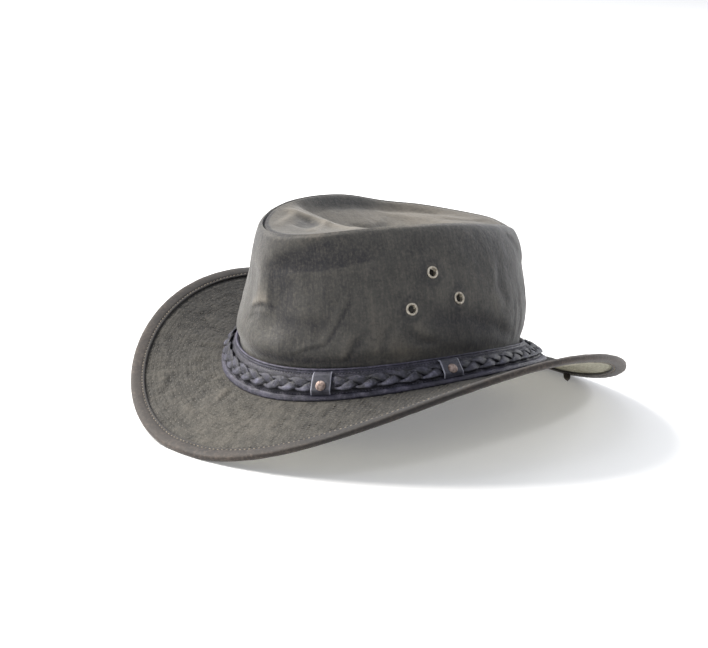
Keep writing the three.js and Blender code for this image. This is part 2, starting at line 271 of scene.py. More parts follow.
def places(piece):
    mesh = piece.data
    found = np.empty(len(mesh.vertices) * 3)
    mesh.vertices.foreach_get('co', found)
    return found.reshape(-1, 3)


def setPlaces(piece, spots):
    piece.data.vertices.foreach_set('co', np.ascontiguousarray(spots, dtype=np.float64).ravel())
    piece.data.update()


# A new piece from one of Blender's own shapes
def made(name, operator, **settings):
    bpy.ops.object.select_all(action='DESELECT')
    operator(**settings)
    piece = bpy.context.object
    piece.name = name
    return piece


# Selects some edges or faces of a piece, and leaves it in edit mode
def picked(piece, kind, parts, chosen):
    onlyThis(piece)
    editMode()
    bpy.ops.mesh.select_mode(type=kind)
    bpy.ops.mesh.select_all(action='DESELECT')
    objectMode()
    parts.foreach_set('select', chosen)
    editMode()


# A plain open tube of one unit, cut into rows: its turn and height are laid on a surface later
def plainTube(name, steps, rows):
    piece = made(name, bpy.ops.mesh.primitive_circle_add, vertices=steps, radius=1.0)
    editMode()
    bpy.ops.mesh.extrude_edges_move(TRANSFORM_OT_translate={'value': (0.0, 0.0, 1.0)})
    objectMode()
    cutUpright(piece, rows)
    return piece


def cutUpright(piece, rows):
    mesh = piece.data
    z = places(piece)[:, 2]
    ends = np.empty(len(mesh.edges) * 2, dtype=int)
    mesh.edges.foreach_get('vertices', ends)
    ends = ends.reshape(-1, 2)
    upright = np.abs(z[ends[:, 0]] - z[ends[:, 1]]) > 0.5
    picked(piece, 'EDGE', mesh.edges, upright)
    bpy.ops.mesh.subdivide(number_cuts=rows - 1)
    bpy.ops.mesh.select_mode(type='VERT')
    objectMode()


def turnOf(spots):
    return np.arctan2(spots[:, 0], -spots[:, 1])


# A plain ring that closes both ways, with the turn round the hat of each of its points
# and their number along its section
def plainRing(name, steps, sides):
    reach = 2.0
    piece = made(name, bpy.ops.mesh.primitive_torus_add, major_segments=steps,
                 minor_segments=sides, major_radius=reach, minor_radius=1.0)
    spots = places(piece)
    out = np.hypot(spots[:, 0], spots[:, 1]) - reach
    part = np.arctan2(spots[:, 2], out) / (2 * math.pi)
    return piece, turnOf(spots), np.rint(part * sides).astype(int) % sides


# Own map of a piece, in metres: u runs round the hat, v across the piece
def ownMap(piece, u, v, wrap):
    mesh = piece.data
    while mesh.uv_layers:
        mesh.uv_layers.remove(mesh.uv_layers[0])
    layer = mesh.uv_layers.new(name='lie')
    corner = np.empty(len(mesh.loops), dtype=int)
    mesh.loops.foreach_get('vertex_index', corner)
    starts = np.empty(len(mesh.polygons), dtype=int)
    mesh.polygons.foreach_get('loop_start', starts)
    counts = np.empty(len(mesh.polygons), dtype=int)
    mesh.polygons.foreach_get('loop_total', counts)
    face = np.repeat(np.arange(len(starts)), counts)
    pairs = []
    for values, turnLength in ((u, wrap[0]), (v, wrap[1])):
        each = values[corner]
        if turnLength:
            top = np.full(len(starts), -1e9)
            np.maximum.at(top, face, each)
            each = np.where(top[face] - each > turnLength / 2, each + turnLength, each)
        pairs.append(each)
    layer.data.foreach_set('uv', np.stack(pairs, -1).ravel())


# Wear and painted shading of the cloth at each point: dark below 0, as wax and painted shade, pale above
# it, as rubbed wear and painted light
def setWearAndShading(piece, wearAndShading):
    layer = piece.data.attributes.new('wearAndShading', 'FLOAT', 'POINT')
    layer.data.foreach_set('value', np.clip(wearAndShading, -1.0, 1.0))


# A plain piece gets its shape, its wear with painted shading and its own map, with lengths in mm
def lay(piece, shape, wearAndShading, u, v, wrap=(0, 0)):
    setPlaces(piece, shape * mm)
    setWearAndShading(piece, wearAndShading)
    ownMap(piece, u * mm, v * mm, (wrap[0] * mm, wrap[1] * mm))


# Shares in stretches of (from, to, how many), each evenly cut
def cutShares(stretches):
    cuts = [np.linspace(low, high, count, endpoint=False) for low, high, count in stretches]
    return np.concatenate(cuts + [[stretches[-1][1]]])


def finished(piece, slot, material, *nodes):
    onlyThis(piece)
    bpy.ops.object.transform_apply(location=True, rotation=True, scale=True)
    bpy.ops.object.shade_smooth_by_angle(angle=math.radians(60))
    piece.data.materials.clear()
    piece.data.materials.append(material)
    if nodes:
        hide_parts(*nodes)
    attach(piece, 'root')


def meshPiece(name, spots, edges, faces):
    mesh = bpy.data.meshes.new(name)
    mesh.from_pydata(spots, edges, faces)
    piece = bpy.data.objects.new(name, mesh)
    bpy.context.collection.objects.link(piece)
    return piece


# Copies of one small model along a seam, as one mesh: each copy has a place and three axes
def sewRow(name, model, frames):
    base = places(model)
    faces = [list(p.vertices) for p in model.data.polygons]
    count = len(base)
    spots = np.concatenate([base @ axes + place for place, axes in frames])
    allFaces = []
    for k in range(len(frames)):
        allFaces += [[i + k * count for i in face] for face in faces]
    bpy.data.objects.remove(model)
    return meshPiece(name, spots.tolist(), [], allFaces)


# Shader tools

class Wire:
    # a socket's value: sums and products of wires add their own Math nodes
    def __init__(self, paint, socket):
        self.paint = paint
        self.socket = socket

    def maths(self, operation, *others, swap=False):
        terms = [self] + list(others)
        if swap:
            terms.reverse()
        return self.paint.add('ShaderNodeMath', {'operation': operation}, dict(enumerate(terms)))

    def __add__(self, other):
        return self.maths('ADD', other)

    __radd__ = __add__

    def __sub__(self, other):
        return self.maths('SUBTRACT', other)

    def __rsub__(self, other):
        return self.maths('SUBTRACT', other, swap=True)

    def __mul__(self, other):
        return self.maths('MULTIPLY', other)

    __rmul__ = __mul__

    def __abs__(self):
        return self.maths('ABSOLUTE')

    def sine(self):
        return self.maths('SINE')

    def aboveZero(self):
        return self.maths('MAXIMUM', 0.0)

    def between(self, low, high):
        # smooth rise from 0 at low to 1 at high
        rise = {'interpolation_type': 'SMOOTHSTEP'}
        values = {'Value': self, 'From Min': low, 'From Max': high}
        return self.paint.add('ShaderNodeMapRange', rise, values)


class Paint:
    # one material and its nodes
    def __init__(self, name):
        self.material = bpy.data.materials.new(name)
        self.material.use_nodes = True
        self.nodes = self.material.node_tree.nodes
        self.links = self.material.node_tree.links
        self.nodes.clear()

    # any node: its settings are set first, then the values or links of its sockets
    def add(self, kind, settings=None, sockets=None, out=0):
        node = self.nodes.new(kind)
        for key, value in (settings or {}).items():
            setattr(node, key, value)
        for key, value in (sockets or {}).items():
            if isinstance(value, Wire):
                self.links.new(value.socket, node.inputs[key])
            else:
                node.inputs[key].default_value = value
        return Wire(self, node.outputs[out]) if node.outputs else None

    def parts(self, vector):
        first = self.add('ShaderNodeSeparateXYZ', None, {'Vector': vector})
        return [Wire(self, socket) for socket in first.socket.node.outputs]

    def mix(self, factor, colourA, colourB):
        return self.add('ShaderNodeMix', {'data_type': 'RGBA'}, {0: factor, 6: colourA, 7: colourB}, out=2)

    # where the piece is, how its own map lies, and its wear with painted shading
    def place(self):
        return self.add('ShaderNodeTexCoord', out=3)

    def lie(self):
        return self.add('ShaderNodeTexCoord', out=2)

    def wearAndShading(self):
        return self.add('ShaderNodeAttribute', {'attribute_name': 'wearAndShading'}, out=2)

    def noise(self, where, scale, detail=3.0, roughness=0.5, distortion=0.0):
        sockets = {'Vector': where, 'Scale': scale, 'Detail': detail, 'Roughness': roughness,
                   'Distortion': distortion}
        return self.add('ShaderNodeTexNoise', None, sockets)

    def finish(self, colour, roughness, height=None, strength=0.5, distance=0.001, **fixed):
        surface = {'Base Color': colour, 'Roughness': roughness}
        if height is not None:
            bump = {'Height': height, 'Strength': strength, 'Distance': distance}
            surface['Normal'] = self.add('ShaderNodeBump', None, bump)
        surface.update({key.replace('_', ' '): value for key, value in fixed.items()})
        shader = self.add('ShaderNodeBsdfPrincipled', None, surface)
        self.add('ShaderNodeOutputMaterial', None, {'Surface': shader})
        return self.material


def srgb(r, g, b):
    # a colour as the eye names it, from 0 to 255
    def linear(value):
        value = value / 255
        return value / 12.92 if value <= 0.04045 else ((value + 0.055) / 1.055) ** 2.4
    return (linear(r), linear(g), linear(b), 1.0)


# Oilskin: waxed cotton, with a fine weave, soft cloudy patches, painted shade in its creases and paler
# folds, as wear and painted light

oilskinValues = {
    'dark': srgb(56, 55, 53), 'light': srgb(80, 78, 74), 'waxAndShadeColour': srgb(34, 34, 39),
    'wornAndLit': srgb(125, 118, 107), 'weaveMm': 0.55, 'roughness': 0.6, 'weaveHeight': 0.06,
    'grain': 0.85, 'crumple': 1.3, 'fine': 0.8, 'streak': 0.6, 'sheen': 0.25,
    # noises: scale, detail, roughness, distortion
    'cloud': (26.0, 5.0, 0.62), 'patch': (75.0, 5.0, 0.68, 0.5), 'blotch': (210.0, 4.0, 0.7),
    'fibre': (620.0, 3.0, 0.7), 'threads': (700.0, 3.0, 0.65),
}


def oilskin(name, v):
    paint = Paint(name)
    lie = paint.lie()
    place = paint.place()
    wearAndShading = paint.wearAndShading()
    cloud = paint.noise(place, *v['cloud'])
    patch = paint.noise(place, *v['patch'])
    blotch = paint.noise(place, *v['blotch'])
    fibre = paint.noise(place, *v['fibre'])
    drawn = paint.add('ShaderNodeMapping', None, {'Vector': lie, 'Scale': (1.0, 0.14, 1.0)})
    streak = paint.noise(drawn, *v['threads'])
    across, up = paint.parts(lie)[:2]
    turns = 2 * math.pi / (v['weaveMm'] * mm)
    warp = (across * turns).sine()
    weft = (up * turns).sine()
    twill = (across * turns + up * turns).sine()
    weave = warp * weft * 0.5 + twill * 0.35
    tone = cloud.between(0.32, 0.68) * 0.55 + patch.between(0.32, 0.68) * 0.45
    colour = paint.mix(tone, v['dark'], v['light'])
    colour = paint.mix(blotch.between(0.48, 0.7) * 0.45, colour, v['waxAndShadeColour'])
    # painted shade, with real wax: the cloth turns to the dark wax colour where the wear value is below 0
    waxAndShade = (wearAndShading * -0.85).aboveZero()
    # painted light, with real rubbing: it turns to the pale colour where the wear value is above 0, plus
    # grain, weave and streaks
    rubbedAndLit = (wearAndShading * 0.7).aboveZero() + (fibre - 0.5) * v['grain'] + weave * 0.08 + 0.06
    rubbedAndLit = rubbedAndLit + (streak - 0.5) * v['streak']
    colour = paint.mix(waxAndShade, colour, v['waxAndShadeColour'])
    colour = paint.mix(rubbedAndLit.aboveZero(), colour, v['wornAndLit'])
    roughness = cloud * 0.25 + v['roughness'] - 0.12
    height = weave * v['weaveHeight'] + fibre * 0.12 + (patch * 1.5 + blotch * v['fine']) * v['crumple']
    return paint.finish(colour, roughness, height, 0.5, 0.0007, Sheen_Weight=v['sheen'],
                        Sheen_Roughness=0.4, Specular_IOR_Level=0.35)


crownOilskin = oilskin('crownOilskin', oilskinValues)


# How open the seam round the tip lies: wide on the wearer's left, closed on the right
def seamOpen(angle):
    near = smoothStep(-0.35, 0.1, np.cos(angle - math.radians(60)))
    return 0.08 + 0.92 * near + 1.2 * bell(np.degrees(angle), 140, 15)


# The crown's side wall

wallValues = {
    'steps': 720, 'thickness': 1.5,
    # rows up the outside and down the inside: from share, to share, how many
    'outside': [(0.0, 0.2, 6), (0.2, 0.955, 84), (0.955, 1.0, 17)],
    'inside': [(1.0, 0.72, 4), (0.72, 0.46, 16), (0.46, 0.0, 5)],
    # creases: points of (angle, share up), half width in mm, depth, raised lip on the left of the run
    'creases': [
        ([(41.5, 0.63), (39, 0.57), (36.2, 0.528), (33.6, 0.482), (31, 0.432), (29, 0.39)], 0.8, 0.8, -0.5),
        ([(31, 0.41), (25, 0.395), (20, 0.375), (14, 0.33)], 0.9, 0.6, -0.5),
        ([(-4, 0.69), (6, 0.712), (14, 0.76), (24, 0.80), (42, 0.84)], 5.0, 1.0, 0.8),
        ([(-14, 0.505), (-9, 0.53), (-3, 0.55), (3.4, 0.552), (8, 0.54)], 1.5, 0.9, 1.2),
        ([(-14, 0.45), (-11, 0.49), (-5, 0.51), (4, 0.50)], 1.6, 0.5, 0.5),
        ([(6, 0.52), (14, 0.505), (22, 0.50), (34, 0.505)], 3.2, 0.3, 0.5),
        ([(44, 0.45), (41, 0.38), (38, 0.29)], 2.4, 1.2, -0.9),
        ([(56, 0.50), (53, 0.42), (52, 0.33)], 2.2, 0.5, -0.4),
        ([(60, 0.46), (66, 0.40), (74, 0.36)], 3.2, 0.9, 0.7),
        ([(64, 0.50), (84, 0.475), (98, 0.42), (118, 0.32)], 5.0, 0.9, 0.4),
        ([(108, 0.70), (106, 0.58), (110, 0.48)], 4.0, 0.6, -0.5),
        ([(116, 0.56), (117.5, 0.42), (116.5, 0.25)], 0.9, 0.3, 0.6),
        ([(122, 0.58), (124, 0.42), (123, 0.25)], 0.9, 0.3, 0.6),
        ([(132, 0.60), (135, 0.45), (134, 0.28)], 1.6, 0.5, 0.5),
        ([(120, 0.82), (128, 0.72), (138, 0.66)], 3.4, 0.4, 0.4),
        ([(128, 0.66), (140, 0.62), (152, 0.63)], 2.6, 0.3, 0.3),
        ([(172, 0.32), (178, 0.45), (181, 0.60)], 3.0, 1.2, 0.9),
        ([(-30, 0.72), (-52, 0.70), (-80, 0.74)], 3.0, 1.2, 0.9),
        ([(-44, 0.38), (-52, 0.50), (-62, 0.60)], 2.2, 1.2, 0.9),
        ([(-88, 0.34), (-80, 0.46), (-68, 0.53)], 2.6, 1.1, 0.8),
        ([(-22, 0.80), (-24, 0.68), (-20, 0.58)], 2.6, 0.7, 0.6),
        ([(-112, 0.62), (-122, 0.50), (-126, 0.36)], 2.6, 1.3, 0.9),
        ([(-150, 0.28), (-146, 0.42), (-150, 0.58)], 2.6, 1.2, 0.9),
        ([(-170, 0.60), (-158, 0.68), (-140, 0.70)], 2.8, 1.0, 0.8),
    ],
    # crisp edges, with painted light and shade: points of (angle, share up), reach of the painted shade at
    # both ends of the run in mm, rise on the left of the run, how pale the painted light is there and how
    # dark the painted shade on the right
    'edges': [
        ([(54, 0.722), (45, 0.716), (38, 0.706), (26, 0.7), (14, 0.697), (1, 0.689)],
         (9, 3), 0.7, 0.15, 0.8),
        ([(3.2, 0.548), (2, 0.578), (1.4, 0.638), (1.6, 0.7)], (9, 9), 0.9, 0.2, 0.55),
        ([(30, 0.41), (33.6, 0.482), (36.2, 0.528), (39, 0.57), (41, 0.62)], (1.6, 1.6), 0.45, 0.15, 0.7),
    ],
    # broad swells and hollows: angle, share up, half angle, half share, depth, lean
    'swells': [
        (20, 0.74, 16, 0.035, 1.5, 0),
        (14, 0.62, 10, 0.08, 0.8, 0),
        (90, 0.41, 18, 0.07, 1.1, -60),
        (104, 0.36, 12, 0.05, 0.8, 0),
        (30, 0.60, 12, 0.07, -0.9, 30),
        (-6, 0.62, 5, 0.06, -1.0, 0),
        (55, 0.40, 10, 0.09, -0.5, 10),
        (-16, 0.42, 14, 0.08, -1.0, 0),
        (2, 0.40, 9, 0.06, -0.8, 0),
        (-90, 0.62, 18, 0.08, 1.2, 0),
        (170, 0.66, 14, 0.08, 1.0, 0),
    ],
    # places painted dark, wax patches together with painted shade such as the band just above the strap,
    # and pale below 0: angle, share up, half angle, half share, how much, lean
    'waxAndShade': [
        (24, 0.745, 16, 0.03, 0.5, 0),
        (60, 0.78, 34, 0.07, 0.2, 0),
        (2, 0.88, 26, 0.12, 0.3, 0),
        (22, 0.50, 20, 0.13, 0.5, 0),
        (24, 0.66, 18, 0.05, 0.25, 0),
        (-14, 0.8, 18, 0.2, 0.4, 0),
        (8, 0.965, 10, 0.03, 0.7, 0),
        (27, 0.96, 9, 0.05, -0.5, 0),
        (-25, 0.85, 8, 0.14, 0.7, 0),
        (10.5, 0.64, 5.5, 0.34, 0.5, 0),
        (58, 0.36, 10, 0.1, -0.45, 0),
        (99, 0.93, 12, 0.07, 0.5, 0),
        (66, 0.95, 14, 0.04, -0.5, 0),
        (88, 0.43, 20, 0.075, 0.45, -50),
        (112, 0.78, 22, 0.22, 0.85, 0),
        (3.6, 0.551, 1.8, 0.014, 0.8, 0),
        (-3, 0.60, 4, 0.035, -0.25, 0),
        (-6, 0.66, 2.5, 0.05, -0.25, 0),
        # painted shadow: the dark band just above the strap, where the cloth tucks in
        (4, 0.31, 30, 0.022, 0.7, 0),
        (30, 0.30, 22, 0.04, 0.5, 0),
        (100, 0.31, 20, 0.035, 0.6, 0),
        (-95, 0.45, 22, 0.09, 0.5, 30),
        (-150, 0.72, 26, 0.07, 0.4, 0),
        (178, 0.40, 20, 0.07, 0.5, 0),
    ],
    # the cloth is free to fold from here up to there
    'softFrom': (0.22, 0.32), 'softTo': (0.9, 0.98),
    'ripples': [(16.0, 1, 0.45), (7.0, 2, 0.225)], 'streaks': (16.0, 5.0, 3.0), 'streakWear': 0.3,
    # the rim's pale line: share up, half share, how much; its dark edge, painted shade in the seam's
    # groove: from, to, how much
    'paleRim': (0.982, 0.005, 0.55), 'darkRim': (0.989, 0.995, 1.4),
    'seamDrop': 1.9, 'seamFrom': 0.986,
}

wallReach = 90.0        # mm, for lengths round the crown
wallHeight = 108.0      # mm, for lengths up it


# Distance from a run of points, the side of it, and the share of its length passed
def alongRun(x, y, run):
    nearest = np.full(x.shape, 1e9)
    side = np.zeros(x.shape)
    along = np.zeros(x.shape)
    lengths = [math.dist(a, b) for a, b in zip(run, run[1:])]
    passed = 0.0
    for (ax, ay), (bx, by), length in zip(run, run[1:], lengths):
        ux, uy = (bx - ax) / length, (by - ay) / length
        t = np.clip((x - ax) * ux + (y - ay) * uy, 0.0, length)
        dx, dy = x - ax - ux * t, y - ay - uy * t
        far = np.hypot(dx, dy)
        closer = far < nearest
        nearest = np.where(closer, far, nearest)
        side = np.where(closer, np.sign(ux * dy - uy * dx), side)
        along = np.where(closer, (passed + t) / sum(lengths), along)
        passed += length
    return nearest, side, along


def faded(along, share):
    return smoothStep(0.0, share, np.minimum(along, 1 - along) + 0.02)


# Signed fold: a valley along a run of points, with a raised lip on one side
def foldHeight(x, y, run, width, depth, lip):
    nearest, side, along = alongRun(x, y, run)
    s = nearest / width
    valley = -depth * np.exp(-s ** 2)
    rise = np.where(side * np.sign(lip) > 0, abs(lip) * s * np.exp(1 - s), 0.0)
    return (valley + rise * np.clip(s, 0, 1)) * faded(along, 0.25)


# Crisp edge of a fold, raised and painted pale, as light, on the left of its run, and painted dark, as
# shade, on the right: height and painted shading
def foldEdge(x, y, run, reach, step, pale, dark):
    nearest, side, along = alongRun(x, y, run)
    left = smoothStep(-0.5, 0.5, nearest * side) * np.exp(-nearest / 3.5)
    darkReach = reach[0] + (reach[1] - reach[0]) * along
    right = smoothStep(-0.5, 0.5, -nearest * side) * np.exp(-nearest / darkReach)
    ends = faded(along, 0.15)
    return left * step * ends, (left * pale - right * dark) * ends


# The cloth laid out flat round the start of a run, and the run's own points there, in mm
def laidFlat(run, angle, up, reach, height):
    middle = np.radians(run[0][0])
    away = (angle - middle + math.pi) % (2 * math.pi) - math.pi
    points = [(math.radians(a) * reach, share * height) for a, share in run]
    return (away + middle) * reach, up * height, points


def foldsOn(creases, angle, up, reach, height):
    total = np.zeros(angle.shape)
    for run, *shape in creases:
        total += foldHeight(*laidFlat(run, angle, up, reach, height), *shape)
    return total


def edgesOn(edges, angle, up, reach, height):
    rise, wearAndShading = np.zeros(angle.shape), np.zeros(angle.shape)
    for run, *shape in edges:
        step, shade = foldEdge(*laidFlat(run, angle, up, reach, height), *shape)
        rise += step
        wearAndShading += shade
    return rise, wearAndShading


# Soft random rumples, the same each run
def rumpled(spots, scale, seed):
    shift = Vector((seed * 3.7, seed * 1.3, seed * 5.1))
    return np.array([noise.noise(Vector(p) / scale + shift) for p in spots])


# Rumples of several sizes together: rows of size in mm, seed, how high
def ripples(spots, rows, shift=0):
    return sum(rumpled(spots, size, seed + shift) * high for size, seed, high in rows)


# Noise drawn out along or across the cloth, by how often it changes round the hat and up it
def drawnNoise(angle, share, turns, rows, seed):
    return np.array([noise.noise(Vector((a * turns, s * rows, seed))) for a, s in zip(angle, share)])


def wallPlain(angle, up):
    place = throughSections(crownShape['sections'], angle, up)
    place[..., 2] -= rimSag(angle) * smoothStep(0.75, 1.0, up)
    return place - outwards(place) * dentDepth(crownShape['dents'], angle, up)[..., None]


# How far the cloth stands off its plain surface, and its painted shading: dark in the fold valleys as
# shade, pale on their lips as wear and light, with the crisp edges' painted light and shade
def wallRelief(angle, up, plain):
    v = wallValues
    soft = smoothStep(*v['softFrom'], up) * (1 - smoothStep(*v['softTo'], up))
    folds = foldsOn(v['creases'], angle, up, wallReach, wallHeight) * soft
    rise, shade = edgesOn(v['edges'], angle, up, wallReach, wallHeight)
    swells = dentDepth(v['swells'], angle, up) * soft
    return folds + rise - swells + ripples(plain, v['ripples']) * soft, folds * 0.6 + shade


def wallOutside(angle, up):
    v = wallValues
    plain = wallPlain(angle, up)
    height = wallRelief(angle, up, plain)[0]
    place = plain + outwards(plain) * height[..., None]
    place[..., 2] -= smoothStep(v['seamFrom'], 1.0, up) * v['seamDrop'] * seamOpen(angle)
    return place


# Wear and painted shading of the wall: the folds' painted light and shade, wax patches with painted shade,
# streaks, the rim's pale line, the painted dark seam and a painted shadow ring round each eyelet
def wallWearAndShading(angle, up):
    v = wallValues
    folds = wallRelief(angle, up, wallPlain(angle, up))[1]
    waxAndShade = dentDepth(v['waxAndShade'], angle, up)
    streaks = drawnNoise(angle, up, *v['streaks']) * v['streakWear']
    paleAt, paleHalf, pale = v['paleRim']
    darkFrom, darkTo, dark = v['darkRim']
    rim = bell(up, paleAt, paleHalf) * pale - smoothStep(darkFrom, darkTo, up) * dark * seamOpen(angle)
    # painted shadow: a dark ring in the cloth round each eyelet
    ringAt, ringHalf, ring = eyeletValues['shade']
    y = up * wallHeight
    for turn, height in eyeletValues['places']:
        across = (np.abs(angle) - math.radians(turn)) * eyeletValues['reach']
        away = np.hypot(across, y - height * wallHeight)
        rim = rim - ring * bell(away, ringAt, ringHalf)
    return folds - waxAndShade + streaks + rim


eyeletValues = {
    'places': [(73.6, 0.655), (83.3, 0.552), (63.6, 0.534)],
    'reach': 80.0, 'flange': 3.95, 'tube': 2.8, 'hole': 2.45,
    # painted shadow, a dark ring in the cloth round each: radius, half width, how much
    'shade': (4.6, 0.9, 0.7),
}


def crownWall():
    v = wallValues
    outside, inside = cutShares(v['outside']), cutShares(v['inside'])
    share = np.concatenate([outside, inside])
    wall, angle, index = plainRing('crownWall', v['steps'], len(share))
    up = share[index]
    inner = (index >= len(outside))[:, None]
    shape = wallOutside(angle, up) - normalOf(wallPlain, angle, up) * v['thickness'] * inner
    wearAndShading = np.where(inner[:, 0], 0.0, wallWearAndShading(angle, up))
    lay(wall, shape, wearAndShading, angle * wallReach, up * wallHeight, (2 * math.pi * wallReach, 0))
    facesOut(wall)
    for side in (1, -1):
        for turn, height in eyeletValues['places']:
            punch(wall, side * math.radians(turn), height)
    finished(wall, 'crown_cloth', crownOilskin, 'crown_wall')


# Axes of a small round piece on the crown: across, upwards and out
def standing(out):
    across = unit(np.cross((0, 0, 1), out))
    return across, np.cross(out, across), out


# Where an eyelet sits: its middle on the cloth and its own axes there
def eyeletSeat(angle, up):
    turn, height = np.array([angle]), np.array([up])
    middle = wallOutside(turn, height)[0]
    return middle, *standing(normalOf(wallPlain, turn, height)[0])


# A round hole in the cloth: faces near the middle go, and the rim is drawn to a true circle
def punch(wall, angle, up):
    middle, across, upwards = eyeletSeat(angle, up)[:3]
    radius = eyeletValues['tube'] - 0.1
    mesh = wall.data
    centres = np.empty(len(mesh.polygons) * 3)
    mesh.polygons.foreach_get('center', centres)
    near = np.linalg.norm(centres.reshape(-1, 3) / mm - middle, axis=1) < radius
    picked(wall, 'FACE', mesh.polygons, near)
    bpy.ops.mesh.delete(type='FACE')
    bpy.ops.mesh.select_mode(type='VERT')
    bpy.ops.mesh.select_non_manifold(extend=False)
    objectMode()
    spots = places(wall) / mm
    rim = np.array([vertex.select for vertex in mesh.vertices])
    rim &= np.linalg.norm(spots - middle, axis=1) < radius * 2
    away = spots[rim] - middle
    a, b = away @ across, away @ upwards
    stretch = radius / np.hypot(a, b) - 1
    away += (a * stretch)[:, None] * across + (b * stretch)[:, None] * upwards
    spots[rim] = middle + away
    setPlaces(wall, spots * mm)


crownWall()
print("crown wall shaped")


# The crown's tip, pressed in along the middle

tipValues = {
    'steps': 560, 'rings': [(0.0, 0.94, 50), (0.94, 1.0, 17)], 'thickness': 1.5,
    'edge': oval(95.6, 97.0, 50.2, 8.2, 126.2, 129.4, 114.5, -1.2, 1.5),
    'depth': 14.0, 'ridgeY': -38.0, 'ridgeBend': 20.0, 'run': 18.0, 'deepTo': 30.0, 'end': 88.0,
    'frontDepth': 1.5, 'backDepth': 7.0, 'lip': 0.4, 'lipRun': 0.17,
    'line': (2.3, 3.5), 'softTo': (0.84, 0.97), 'seamDrop': 1.9, 'seamFrom': 0.978,
    'ripples': [(22.0, 3, 0.49), (9.0, 4, 0.245)], 'pale': 0.5,
    # folds across the tip: points of (x, y) in mm, half width, depth, lip; a ridge has a depth below 0
    'folds': [
        ([(-48, -62), (-28, -51), (-14, -45), (2, -43), (18, -47), (40, -60)], 4.5, -1.5, 0.0),
        ([(-12, -88), (-17, -76), (-24, -60), (-30, -50)], 3.0, -1.2, 0.0),
        ([(8, -76), (2, -64), (-7, -46), (-14, -40)], 3.0, -1.3, 0.0),
        ([(-8, -70), (-13, -56), (-22, -48)], 5.0, 1.3, 0.0),
        ([(14, -80), (22, -68), (26, -54)], 3.0, 0.8, -0.5),
        ([(-40, 24), (-30, 44), (-18, 62)], 3.4, -0.35, 0.0),
        ([(-44, 40), (-34, 58), (-22, 74)], 3.0, 0.3, 0.3),
        ([(-18, 64), (-4, 78), (6, 92)], 3.2, 0.5, 0.4),
        ([(2, 30), (6, 48), (4, 70)], 4.0, 0.9, 0.7),
        ([(24, 0), (20, 22), (22, 46)], 4.0, 0.9, -0.7),
        ([(-24, -12), (-20, 8), (-24, 28)], 4.0, 0.8, 0.6),
    ],
    # places painted dark, as wax and as shade, and pale ones below 0, as painted light: middle (x, y), half
    # sizes, how much
    'waxAndShade': [
        ((-46, 2), (5, 32), 1.1),
        ((-22, -28), (14, 9), 0.2),
        ((-36, 34), (10, 20), -0.2),
        ((-24, 56), (20, 24), -0.3),
        ((-13, -55), (8, 7), 0.8),
        ((-4, -80), (16, 11), 0.35),
        ((10, 20), (14, 30), 0.3),
    ],
}


# Share of the hollow's depth from the seam inwards: a short steep lip, then a long easy slope
def hollowShare(inwards):
    v = tipValues
    slope = smoothStep(0.03, 0.8, inwards)
    return v['lip'] * smoothStep(0.0, v['lipRun'], inwards) + (1 - v['lip']) * slope


def tipPlain(angle, ring):
    v = tipValues
    o = v['edge']
    rim = ovalPlace(o, angle)
    mean = (o['zFront'] + o['zBack']) / 4 + o['zSide'] / 2
    x = rim[..., 0] * ring
    y = o['widestY'] + (rim[..., 1] - o['widestY']) * ring
    ridge = v['ridgeY'] - v['ridgeBend'] * (x / o['side']) ** 2
    hollow = v['frontDepth'] + (v['depth'] - v['frontDepth']) * smoothStep(ridge, ridge + v['run'], y)
    hollow = hollow - (v['depth'] - v['backDepth']) * smoothStep(v['deepTo'], v['end'], y)
    z = mean + (rim[..., 2] - mean) * ring ** 1.5 - hollow * hollowShare(1 - ring)
    z = z - rimSag(angle) * smoothStep(0.7, 1.0, ring)
    return np.stack([x, y, z], -1)


def tipFolds(place):
    x, y = place[..., 0], place[..., 1]
    return sum(foldHeight(x, y, *fold) for fold in tipValues['folds'])


def tipTop(angle, ring):
    v = tipValues
    place = tipPlain(angle, ring)
    soft = 1 - smoothStep(*v['softTo'], ring)
    folds = tipFolds(place)
    place[..., 2] += (ripples(place, v['ripples']) + folds) * soft
    place[..., 2] -= smoothStep(v['seamFrom'], 1.0, ring) * v['seamDrop'] * seamOpen(angle)
    # painted light on the ridges of the folds and painted shade in their valleys, over a paler tip
    wearAndShading = v['pale'] + folds * soft * np.where(folds > 0, 0.3, 0.4)
    reach = np.linalg.norm(ovalPlace(v['edge'], angle)[..., :2] - (0, v['edge']['widestY']), axis=-1)
    inwards = (1 - ring) * reach / (1 + 0.6 * np.cos(angle - math.radians(45)))
    # painted shade: a dark line in the seam's groove round the tip, widest where the seam lies open
    wearAndShading = wearAndShading - (1 - smoothStep(*v['line'], inwards)) * 2.0 * seamOpen(angle)
    for (x, y), (halfX, halfY), amount in v['waxAndShade']:
        away = ((place[..., 0] - x) / halfX) ** 2 + ((place[..., 1] - y) / halfY) ** 2
        wearAndShading = wearAndShading - amount * np.exp(-away)
    return place, wearAndShading


def crownTip():
    v = tipValues
    rings = cutShares(v['rings'])
    tip = plainTube('crownTip', v['steps'], len(rings) - 1)
    spots = places(tip)
    angle = turnOf(spots)
    ring = rings[np.rint(spots[:, 2] * (len(rings) - 1)).astype(int)]
    shape, wearAndShading = tipTop(angle, ring)
    setPlaces(tip, shape * mm)
    setWearAndShading(tip, wearAndShading)
    edited(tip, bpy.ops.mesh.remove_doubles, threshold=0.000001)
    flat = places(tip)
    ownMap(tip, flat[:, 0], flat[:, 1], (0, 0))
    facesOut(tip)
    middle = [face for face in tip.data.polygons if face.center.xy.length < 0.005]
    if middle[0].normal.z < 0:
        edited(tip, bpy.ops.mesh.flip_normals)
    thicken(tip, 'cloth', v['thickness'], -1)
    applyAll(tip)
    finished(tip, 'crown_cloth', crownOilskin, 'crown_tip')


crownTip()
print("crown tip shaped")


# The brim: two layers of cloth, quilted together by rows of stitches

